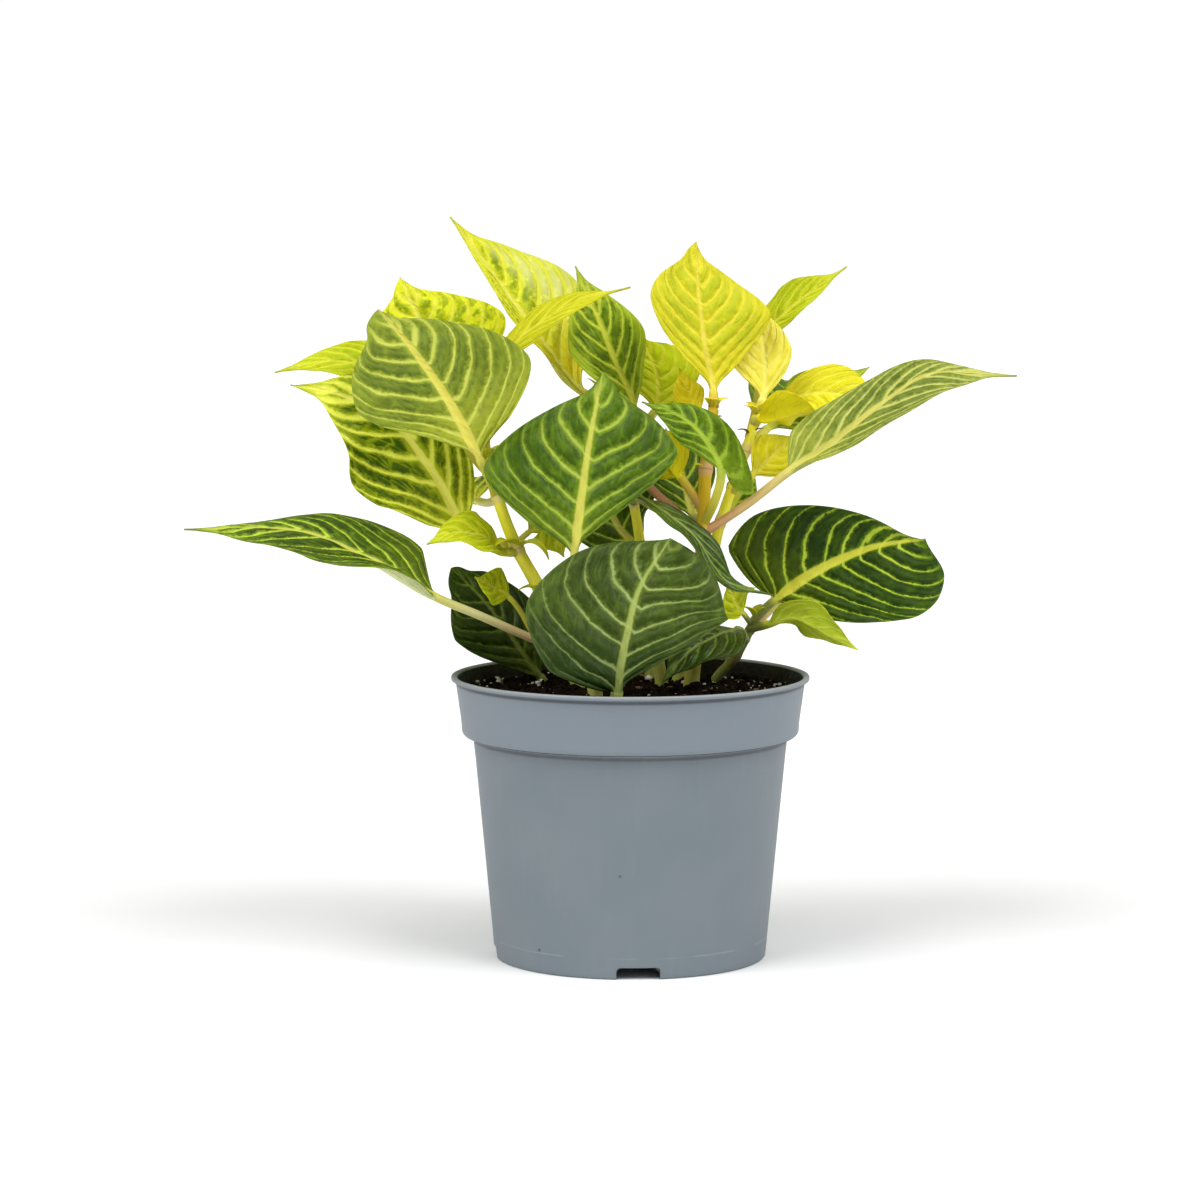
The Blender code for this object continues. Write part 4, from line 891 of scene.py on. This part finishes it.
def upperFinish(name, look, seed):
    finish = Finish(f"{name}_upper", look["specular"])
    m = veinMasks(finish, look, seed)
    fade = 1 - m["reach"] * m["reach"] * look["fade"]
    drift = finish.noise(20.0, 2.0, shift=seed + 2)
    base = finish.blend((m["patch"] * 0.6 + drift * 0.4).step(0.38, 0.62), look["dark"], look["mid"])
    # painted shade: a darker band beside each halo, for the shade in the creases beside the veins
    veinShade = (1 - (m["near"] - 0.55 + m["ragged"] * 0.5).size().step(0.1, 0.45)) * look["veinShade"]
    base = finish.blend(veinShade, base, scaled(look["dark"], 0.62))
    if look["mottle"]:
        level = 0.40 + 0.4 * look["mottle"]
        spots = finish.noise(look["spot"], 2.5, shift=seed + 4)
        spots = spots + look["stripe"] * (1 - m["near"]) + 0.25 * m["wobble"]
        base = finish.blend(spots.step(level - 0.06, level + 0.07), look["halo"], base)
    # painted highlight: a pale glare colour painted over one flank of the blade
    if look["flankGlare"]:
        glareMask = m["across"].step(0.60, 0.80) * m["along"].step(0.22, 0.45) * (1 - m["along"].step(0.72, 0.92))
        base = finish.blend(glareMask * look["flankGlare"] * (1 - 0.5 * m["patch"]), base, look["flankGlareColour"])
    small = m["rung"] * look["network"] * (0.5 + 0.5 * m["halo"])
    pale = (m["halo"] * fade * look["haloAmount"]).most(small)
    base = finish.blend(pale, base, look["halo"])
    base = finish.blend(m["loop"] * 0.3 * look["network"], base, look["halo"])
    rim = (m["reach"] + m["wobble"] * 0.5).step(0.62, 1.0) * look["rim"]
    base = finish.blend(rim, base, look["halo"])
    # the foot of the blade takes the basal colour: its own tint on most looks, painted shade on the front
    # look
    basal = (1 - (m["along"] + m["ragged"] * 0.15).step(0.0, look["basalEnd"])) * look["basal"]
    base = finish.blend(basal, base, look["basalColour"])
    base = finish.blend(m["vein"] * fade, base, look["vein"])
    base = finish.blend(m["ribMask"] * (1 - 0.3 * m["along"]), base, look["rib"])
    base = finish.blend(m["reach"].step(0.965, 1.0) * 0.35, base, look["halo"])
    # painted shade: the dark basal colour laid again over the veins at the foot of the blade
    base = finish.blend(basal * look["footShadeOverVeins"], base, look["basalColour"])
    roughness = look["rough"] - 0.07 + 0.16 * m["patch"] + 0.08 * m["vein"]
    cells = finish.noise(0.45, 2.0, shift=seed)
    dome = m["lateral"].least(m["rib"] + 0.5).step(-0.2, 1.6)
    relief = dome * 3.4 + m["cell"] * 2.2 + cells * 0.4 + m["ragged"] * 1.6
    return finish.made(base, roughness, relief, 0.12)


def underFinish(name, look, seed):
    finish = Finish(f"{name}_under", 0.2)
    m = veinMasks(finish, look, seed)
    base = finish.blend(m["patch"].step(0.4, 0.75) * 0.4, look["under"], scaled(look["under"], 0.75))
    raised = m["vein"].most(m["ribMask"]).most(m["rung"] * 0.4)
    base = finish.blend(raised.most(m["halo"] * 0.35), base, look["underVein"])
    cells = finish.noise(0.5, 2.0, shift=seed)
    return finish.made(base, 0.52 + 0.14 * m["patch"], raised * 1.8 + cells * 0.4, 0.14)


def stalkFinish(name, colours, rib, seed):
    finish = Finish(f"{name}_stalk", 0.28)
    along, around = finish.onBlade()
    stripes = finish.node("ShaderNodeCombineXYZ", {}, {"X": along * 0.006, "Y": around * 0.02, "Z": seed})
    streak = finish.noise(1.0, 4.0, stripes)
    blotch = finish.noise(4.0, 3.0, shift=seed)
    base = finish.blend((along + 1 + blotch * 0.3 - 0.15).step(0.05, 0.75), colours[0], colours[1])
    base = finish.blend((along + 1).step(0.72, 1.0) * 0.8, base, rib)
    base = finish.blend(streak.step(0.45, 0.7) * 0.35, base, scaled(colours[0], 0.75))
    return finish.made(base, 0.40 + 0.16 * blotch, streak * 1.2 + finish.noise(0.4, 2.0) * 0.4, 0.10)


def sideShape(u, belly, taper):
    power = leafBuild["marginPower"]
    if u < belly:
        return max(0.0, 1 - ((belly - u) / belly) ** power) ** taper[0]
    return max(0.0, 1 - ((u - belly) / (1 - belly)) ** power) ** taper[1]


def halfWidth(leaf, u, side):
    taper = leaf["taperRight"] if side and leaf["taperRight"] else leaf["taper"]
    width = leaf["half"][side] * sideShape(u, leaf["belly"][side], taper)
    # the flanks hollow a little just before the tip
    width *= 1 - leaf["acumen"] * math.exp(-((u - 0.9) / 0.07) ** 2)
    return max(width, leafBuild["tipHalf"])


# The laterals leave the midrib, sweep towards the tip and run up beside the margin. They are unevenly spaced,
# and the two sides are out of step
def veinPhase(leaf, u, reach, side, seed):
    inward = reach * (halfWidth(leaf, u, side) / leaf["half"][side]) ** 0.35
    bend = leaf["rise"] * (0.72 * inward + 0.28 * inward ** 3 + 0.12 * reach ** 6)
    apart = 0.4 * side * min(1.0, reach / 0.10)
    uneven = 0.22 * noise.noise(Vector((leaf["veins"] * (u - bend) * 0.8, 3.0 * side, seed)))
    return leaf["veins"] * (u - bend) + apart + uneven + 0.2


def bladePoint(leaf, frameHere, u, v, lift, seed):
    centre, tangent, normal, across = frameHere
    side = 1 if v > 0 else 0
    sign = 1 if side else -1
    reach = abs(v)
    width = halfWidth(leaf, u, side)
    fold = leaf["fold"][side] + (leaf["foldTip"][side] - leaf["fold"][side]) * u ** leaf["ease"]
    angle = fold + leaf["curl"][side] * reach / 2
    out = sign * across
    ripple = leaf["wave"] * reach ** 2 * math.sin(math.tau * leaf["waves"] * u + 1.7 * side)
    ripple *= math.sin(math.pi * u)
    back = (leaf["lobe"][side] * (1 - u) ** 2 - leaf["sweep"][side] * u * u * (1 - u ** 8)) * reach ** 1.5
    local = fold + leaf["curl"][side] * reach
    point = centre + width * reach * (math.cos(angle) * out + math.sin(angle) * normal)
    point += ripple * normal - back * tangent
    # the blade domes up between its laterals, is grooved along the midrib and is never quite even
    fromRib = width * reach
    inner = min(1.0, fromRib / 3.0) * (1 - reach ** 5) * min(1.0, u / 0.08) * min(1.0, (1 - u) / 0.06)
    dome = leaf["quilt"] * (0.5 - 0.5 * math.cos(math.tau * veinPhase(leaf, u, reach, side, seed))) * inner
    groove = 0.45 * (1 - u) * math.exp(-(fromRib / 1.3) ** 2) * min(1.0, u / 0.1)
    uneven = 0.9 * noise.noise(Vector((u * 4.1, v * 1.9, seed)))
    uneven += 0.35 * noise.noise(Vector((u * 11.0, v * 5.0, seed + 7)))
    uneven *= min(1.0, u / 0.15) * min(1.0, (1 - u) / 0.15) * min(1.0, width / 8)
    raised = lift + dome - groove + uneven
    return point + raised * (math.cos(local) * normal - math.sin(local) * out)


def leafFrames(leaf, distances, spine, baseAt, length):
    face = Vector(leaf["face"])
    faceTip = Vector(leaf["faceTip"]) if leaf["faceTip"] else face
    frames = {}
    for distance in distances:
        if distance >= baseAt:
            tangent = spine.tangent(distance)
            wanted = face.lerp(faceTip, (distance - baseAt) / (length - baseAt))
            normal = (wanted - wanted.dot(tangent) * tangent).normalized()
            frames[distance] = (spine.at(distance), tangent, normal, tangent.cross(normal))
    normal = frames[min(frames)][2]
    for distance in sorted((d for d in distances if d < baseAt), reverse=True):
        tangent = spine.tangent(distance)
        normal = (normal - normal.dot(tangent) * tangent).normalized()
        frames[distance] = (spine.at(distance), tangent, normal, tangent.cross(normal))
    return frames


def stemPoint(stem, height):
    spine = Spine(stem["path"])
    return min(spine.samples, key=lambda point: abs(point.z - height))


def makeLeaf(name, given, seed):
    b = leafBuild
    leaf = {**leafUsual, **given}
    if leaf["stem"]:
        path = [stemPoint(stems[leaf["stem"]], leaf["root"])] + leaf["path"]
    else:
        path = [Vector(leaf["path"][0]) - Vector((0, 0, b["buriedStalk"]))] + leaf["path"]
    spine = Spine(path)
    baseAt = spine.knots[leaf["base"]]
    length = spine.lengths[-1]
    bladeLength = length - baseAt
    size = max(leaf["half"]) + bladeLength / 2
    columns = 40 if size > 40 else 24 if size > 24 else 16
    rows = max(16, round(bladeLength * b["rowsPerMm"] * (1.5 if size > 40 else 1)))
    leaf["quilt"] *= min(1.0, max(leaf["half"]) / 26)
    stalkCount = max(3, round(baseAt / b["stalkStep"]))
    stalk = [baseAt * k / stalkCount for k in range(stalkCount)]
    # rows crowd at the base, where the stalk spreads into the blade, and at the tip
    shares = [0.0] + [0.5 - 0.5 * math.cos(math.pi * (k / rows) ** 0.92) for k in range(1, rows)] + [1.0]
    blade = [baseAt + bladeLength * u for u in shares]
    frames = leafFrames(leaf, stalk + blade, spine, baseAt, length)
    spread = [2 * k / columns - 1 for k in range(columns + 1)]
    # columns crowd towards the midrib
    spread = [math.copysign(abs(v) ** 1.25, v) for v in spread]
    count = 2 * (columns + 1)
    turns = [math.pi * (1 - (j + 0.5) / (columns + 1)) for j in range(count)]
    rings = []
    facts = []
    for distance in stalk + blade:
        here = frames[distance]
        centre, tangent, normal, across = here
        u = (distance - baseAt) / bladeLength if distance >= baseAt else 0.0
        stalkShare = distance / baseAt - 1 if distance < baseAt else u
        plump = 1 + 0.25 * math.exp(-distance / 3.0)
        ring = []
        for a in turns:
            # the stalk has a shallow gutter along its upper side
            gutter = 1 - 0.16 * math.exp(-((a - math.pi / 2) / 0.5) ** 2)
            radius = leaf["stalk"] * plump * gutter
            ring.append(centre + radius * (math.cos(a) * across + math.sin(a) * normal))
        rowFacts = [(stalkShare, 0.5 + 0.5 * math.cos(a), 0.2, 8.0, 0.0) for a in turns]
        if u > 0:
            flat = []
            rowFacts = []
            for j in range(count):
                v = spread[j] if j <= columns else spread[count - 1 - j]
                side = 1 if v > 0 else 0
                reach = abs(v)
                thick = b["ribThick"] + (b["marginThick"] - b["ribThick"]) * reach
                lift = 0.0 if j <= columns else -thick
                spot = bladePoint(leaf, here, u, v, lift, seed)
                width = halfWidth(leaf, u, side)
                if j > columns:
                    keel = leaf["stalk"] * 1.15 * (1 - u) ** 0.8 * math.exp(-(width * reach / 1.7) ** 2)
                    lateral = 0.5 - 0.5 * math.cos(math.tau * veinPhase(leaf, u, reach, side, seed))
                    raised = 0.22 * (1 - lateral) ** 6 * (1 - reach) * min(1.0, width * reach / 3)
                    spot -= normal * (keel + raised)
                flat.append(spot)
                steep = leaf["rise"] * (0.72 + 0.84 * reach ** 2 + 0.72 * reach ** 5) / max(width, 1.0)
                pitch = 1 / (leaf["veins"] * math.hypot(1 / bladeLength, steep))
                rowFacts.append((u, 0.5 + 0.5 * v, veinPhase(leaf, u, reach, side, seed), pitch, width * v))
            share = min(1.0, u / b["blendEnd"]) ** 0.7
            ring = [first.lerp(last, share) for first, last in zip(ring, flat)]
        rings.append(ring)
        facts.append(rowFacts)
    bm, cells = rolledSkin(rings, ["veinPhase", "veinPitch", "ribDistance"])
    phaseLayer = bm.verts.layers.float["veinPhase"]
    pitchLayer = bm.verts.layers.float["veinPitch"]
    ribLayer = bm.verts.layers.float["ribDistance"]
    uvLayer = bm.loops.layers.uv["blade"]
    for vert, (column, row) in cells.items():
        fact = facts[row][column % count]
        vert.co = rings[row][column % count] * mm
        vert[phaseLayer] = fact[2]
        vert[pitchLayer] = fact[3]
        vert[ribLayer] = fact[4]
        for loop in vert.link_loops:
            loop[uvLayer].uv = fact[:2]
    firstBladeRow = len(stalk)
    for bmFace in bm.faces:
        spots = [cells[vert] for vert in bmFace.verts]
        column = min(spot[0] for spot in spots)
        row = min(spot[1] for spot in spots)
        if row < firstBladeRow:
            bmFace.material_index = 2
        elif column > columns and column < count - 1:
            bmFace.material_index = 1
    closeSkin(bm)
    look = {**leafLook, **leafLooks[leaf["look"]], **leaf["tint"]}
    materials = [
        upperFinish(name, look, seed), underFinish(name, look, seed),
        stalkFinish(name, stalkLooks[look["stalk"]], look["rib"], seed)]
    newPiece(f"{name}_blade", bm, materials, [name], 60.0)


for index, (leafName, leafData) in enumerate(leaves.items()):
    makeLeaf(leafName, leafData, 1.7 * index + 0.3)
print("leaves made:", len(leaves))


# Young leaves in the axils: each bud is a few small pointed blades that share a foot on the stem
budLooks = dict(
    young=dict(foot=(0.44, 0.50, 0.02), tip=(0.66, 0.66, 0.015), slot="leaf_lime"),
    yellow=dict(foot=(0.62, 0.52, 0.02), tip=(0.82, 0.74, 0.02), slot="leaf_yellow"),
    withered=dict(foot=(0.22, 0.12, 0.04), tip=(0.12, 0.05, 0.02), slot="stem_olive"),
)
buds = [
    dict(stem="stem_left", height=181, blades=4, length=9, width=2.6, tilt=38, turn=20, look="young"),
    dict(stem="stem_left", height=149, blades=3, length=12, width=3.6, tilt=76, turn=-25, look="young"),
    dict(stem="stem_left", height=133, blades=3, length=10, width=3.2, tilt=60, turn=170, look="young"),
    dict(stem="stem_front", height=132, blades=3, length=6, width=2.0, tilt=34, turn=60, look="young"),
    dict(stem="stem_centre", height=171, blades=4, length=8, width=2.4, tilt=34, turn=10, look="young"),
    dict(stem="stem_golden", height=200, blades=4, length=6, width=2.0, tilt=42, turn=35, look="yellow"),
    dict(stem="stem_golden", height=178, blades=2, length=5, width=1.7, tilt=52, turn=5, look="yellow"),
    dict(stem="stem_side", height=197, blades=4, length=7, width=2.2, tilt=36, turn=45, look="yellow"),
    dict(stem="stem_back", height=201, blades=4, length=9, width=2.6, tilt=32, turn=15, look="young"),
    dict(stem="stem_right", height=123, blades=3, length=7, width=2.3, tilt=44, turn=80, look="young"),
    dict(stem="stem_golden", height=196, blades=4, length=4, width=0.9, tilt=48, turn=0, look="withered"),
    dict(stem="stem_side", height=190, blades=3, length=5, width=0.9, tilt=50, turn=100, look="withered"),
]


def budFinish(name, look):
    finish = Finish(name, specular=0.25)
    along = finish.attribute("budLength")
    cloud = finish.noise(2.4, 3.0)
    base = finish.blend((along + cloud * 0.5 - 0.25).step(0.1, 0.8), look["foot"], look["tip"])
    vein = (finish.attribute("budAcross").size() - 0.06 - 0.05 * cloud).step(0.0, 0.14)
    base = finish.blend((1 - vein) * 0.5, base, scaled(look["tip"], 1.12))
    return finish.made(base, 0.42 + 0.2 * cloud, vein + finish.noise(0.5, 2.0) * 0.5, 0.12)


def makeBuds(lookName):
    bm = bmesh.new()
    alongLayer = bm.verts.layers.float.new("budLength")
    acrossLayer = bm.verts.layers.float.new("budAcross")
    rng = random.Random(lookName)
    for bud in buds:
        if bud["look"] != lookName:
            continue
        foot = stemPoint(stems[bud["stem"]], bud["height"])
        for k in range(bud["blades"]):
            turn = math.radians(bud["turn"] + rng.uniform(-12, 12)) + math.tau * k / bud["blades"]
            tilt = math.radians(bud["tilt"] + rng.uniform(-10, 10))
            length = bud["length"] * rng.uniform(0.75, 1.1)
            out = Vector((math.cos(turn), math.sin(turn), 0))
            side = Vector((-math.sin(turn), math.cos(turn), 0))
            made = bmesh.ops.create_grid(bm, x_segments=6, y_segments=10, size=0.5)
            for vert in made["verts"]:
                u = vert.co.y + 0.5
                v = vert.co.x * 2
                half = max(0.12, bud["width"] * math.sin(math.pi * u ** 0.75) ** 0.9)
                # each blade cups around its midrib and bows outwards
                lean = tilt * (0.35 + 0.9 * u)
                spine = foot + length * u * (math.sin(lean) * out + Vector((0, 0, math.cos(lean))))
                inward = Vector((0, 0, math.sin(lean))) - math.cos(lean) * out
                spot = spine + 1.0 * out + v * half * side + 0.35 * half * v * v * inward
                vert.co = spot * mm
                vert[alongLayer] = u
                vert[acrossLayer] = v
    bmesh.ops.recalc_face_normals(bm, faces=bm.faces)
    bmesh.ops.solidify(bm, geom=bm.faces[:], thickness=0.3 * mm)
    bmesh.ops.recalc_face_normals(bm, faces=bm.faces)
    look = budLooks[lookName]
    newPiece(f"{lookName}_buds", bm, [budFinish(f"{lookName}Bud", look)], (), 60.0)


for budLook in budLooks:
    makeBuds(budLook)
print("buds made:", len(buds))


# Soil: a peat bed with crumbs, perlite and bark on it
soilBuild = dict(z=96.6, mound=1.8, gap=0.5, steps=150, rings=62, crumbs=1300, perlite=90, bark=80)


def moundHeight(x, y):
    falloff = max(0.0, 1 - math.hypot(x, y) / 56)
    ripple = math.sin(x * 0.19 + 1.3) * math.sin(y * 0.23 - 0.4) + 0.5 * math.sin(x * 0.41 - y * 0.33)
    return soilBuild["mound"] * falloff ** 0.5 * (0.45 + 0.55 * ripple)


def crumbHeight(x, y):
    lumps = noise.fractal(Vector((x * 0.16, y * 0.16, 3.0)), 0.8, 2.1, 5)
    return moundHeight(x, y) + 1.3 * lumps


def peatFinish():
    finish = Finish("darkPeat", specular=0.06)
    coarse = finish.noise(3.2, 5.0)
    fine = finish.noise(0.7, 4.0, shift=2.0)
    base = coarse.ramp(
        (0.25, (0.0022, 0.0013, 0.0006)), (0.55, (0.009, 0.0052, 0.0022)), (0.8, (0.034, 0.019, 0.008)))
    base = finish.blend(fine.step(0.58, 0.75) * 0.5, base, (0.045, 0.027, 0.015))
    return finish.made(base, 0.80 + 0.18 * fine, coarse * 2 + fine, 0.8)


def grainFinish(name, dark, light, size, depth):
    finish = Finish(name, specular=0.2)
    cloud = finish.noise(size, 4.0)
    base = finish.blend(cloud.step(0.3, 0.7), dark, light)
    return finish.made(base, 0.75 + 0.2 * cloud, finish.noise(size * 0.3, 3.0, shift=1.0), depth)


def makeSoil():
    s, p = soilBuild, potSize
    floorTop = p["channel"] + p["floor"] + 0.3
    outer = innerWall(s["z"]) - s["gap"]
    profile = [
        (0, p["floor"] + 0.3), (p["pad"] - 1.6, p["floor"] + 0.3), (p["pad"] - 0.2, floorTop),
        (innerWall(floorTop) - 2.6, floorTop), (innerWall(floorTop + 2.4) - s["gap"], floorTop + 2.4)]
    for k in range(1, 9):
        z = floorTop + 2.4 + (p["collarFootZ"] - 5.2 - floorTop) * k / 8
        profile.append((innerWall(z) - s["gap"], z))
    profile += [
        (p["bodyTop"] - 1.1, p["collarFootZ"] - 0.2),
        (innerWall(p["collarFootZ"] + 2) - s["gap"], p["collarFootZ"] + 2.2), (outer, s["z"] - 1.8)]
    for k in range(1, s["rings"] + 1):
        share = k / s["rings"]
        profile.append((outer * (1 - share), s["z"] - 0.6 * (1 - min(1.0, 3 * share))))
    bm = spun(profile, s["steps"])
    for vert in bm.verts:
        x, y, z = vert.co / mm
        if z > s["z"] - 1.0:
            edge = min(1.0, (outer - math.hypot(x, y)) / 3 + 0.3)
            vert.co.z += crumbHeight(x, y) * edge * mm
        elif z > 8:
            push = 1 - 0.012 * (0.5 + 0.5 * noise.noise(Vector((x, y, z)) * 0.35))
            vert.co.x *= push
            vert.co.y *= push
    newPiece("peat_bed", bm, [peatFinish()], ["soil"], 180.0)


# Fuses many small lumps into one piece; each has its own size, turn and place on the soil
def scatter(name, count, material, pick, seed, heaps=()):
    rng = random.Random(seed)
    bm = bmesh.new()
    outer = innerWall(soilBuild["z"]) - 2.0
    places = []
    for _ in range(count):
        turn = rng.uniform(0, math.tau)
        radius = outer * math.sqrt(rng.random())
        places.append((radius * math.cos(turn), radius * math.sin(turn)))
    for heapX, heapY, reach, number in heaps:
        places += [(rng.gauss(heapX, reach), rng.gauss(heapY, reach)) for _ in range(number)]
    for x, y in places:
        lump = pick(rng)
        size = lump["size"]
        ball = bmesh.ops.create_icosphere(bm, subdivisions=lump["rounds"], radius=1.0)
        place = Vector((x, y, soilBuild["z"] + crumbHeight(x, y) + size.z * lump["stand"])) * mm
        spin = Matrix.Rotation(rng.uniform(0, math.tau), 4, "Z") @ Matrix.Rotation(rng.gauss(0, 0.5), 4, "X")
        rough = rng.uniform(0, 50)
        for vert in ball["verts"]:
            bulge = 1 + 0.35 * noise.noise(vert.co * 2.2 + Vector((rough, 0, 0)))
            vert.co = spin @ (vert.co * size) * bulge * mm + place
    bmesh.ops.recalc_face_normals(bm, faces=bm.faces)
    newPiece(name, bm, [material], (), 180.0)


def crumbLump(rng):
    rounds = 1 if rng.random() < 0.8 else 2
    width = min(3.2, 0.45 + rng.expovariate(1 / 0.55))
    size = Vector((width, width * rng.uniform(0.6, 1), width * rng.uniform(0.45, 0.8)))
    return dict(rounds=rounds, size=size, stand=0.25)


def perliteLump(rng):
    width = min(1.5, 0.3 + rng.expovariate(1 / 0.36))
    size = Vector((width, width * rng.uniform(0.7, 1), width * rng.uniform(0.6, 0.9)))
    return dict(rounds=2, size=size, stand=0.55)


def barkLump(rng):
    length = rng.uniform(0.8, 2.6)
    size = Vector((length, length * rng.uniform(0.25, 0.5), rng.uniform(0.25, 0.6)))
    return dict(rounds=1, size=size, stand=0.5)


# Where grains lie together: x, y, their spread and how many
perliteHeaps = [(-15, 12, 1.0, 26), (-11, 9, 1.4, 8), (-54, 22, 3, 6), (-46, 30, 4, 6), (-34, 10, 2.0, 10),
                (40, 30, 5, 5), (52, 20, 3, 5), (26, 14, 3, 6), (46, 14, 3, 3)]
# crumbs banked up against each stem and against the stalks that rise from the soil
crumbHeaps = [(stem["path"][0][0], stem["path"][0][1], 2.6, 22) for stem in stems.values()]
crumbHeaps += [(-6, -42, 2.2, 16), (-29, 30, 2.2, 16)]
makeSoil()
scatter("peat_crumbs", soilBuild["crumbs"], peatFinish(), crumbLump, 11, crumbHeaps)
scatter("perlite_grains", soilBuild["perlite"],
        grainFinish("perliteWhite", (0.50, 0.47, 0.38), (0.86, 0.84, 0.76), 0.8, 0.25), perliteLump, 5,
        perliteHeaps)
scatter("bark_chips", soilBuild["bark"],
        grainFinish("barkTan", (0.11, 0.060, 0.028), (0.34, 0.22, 0.12), 1.2, 0.3), barkLump, 8)
print("soil made")
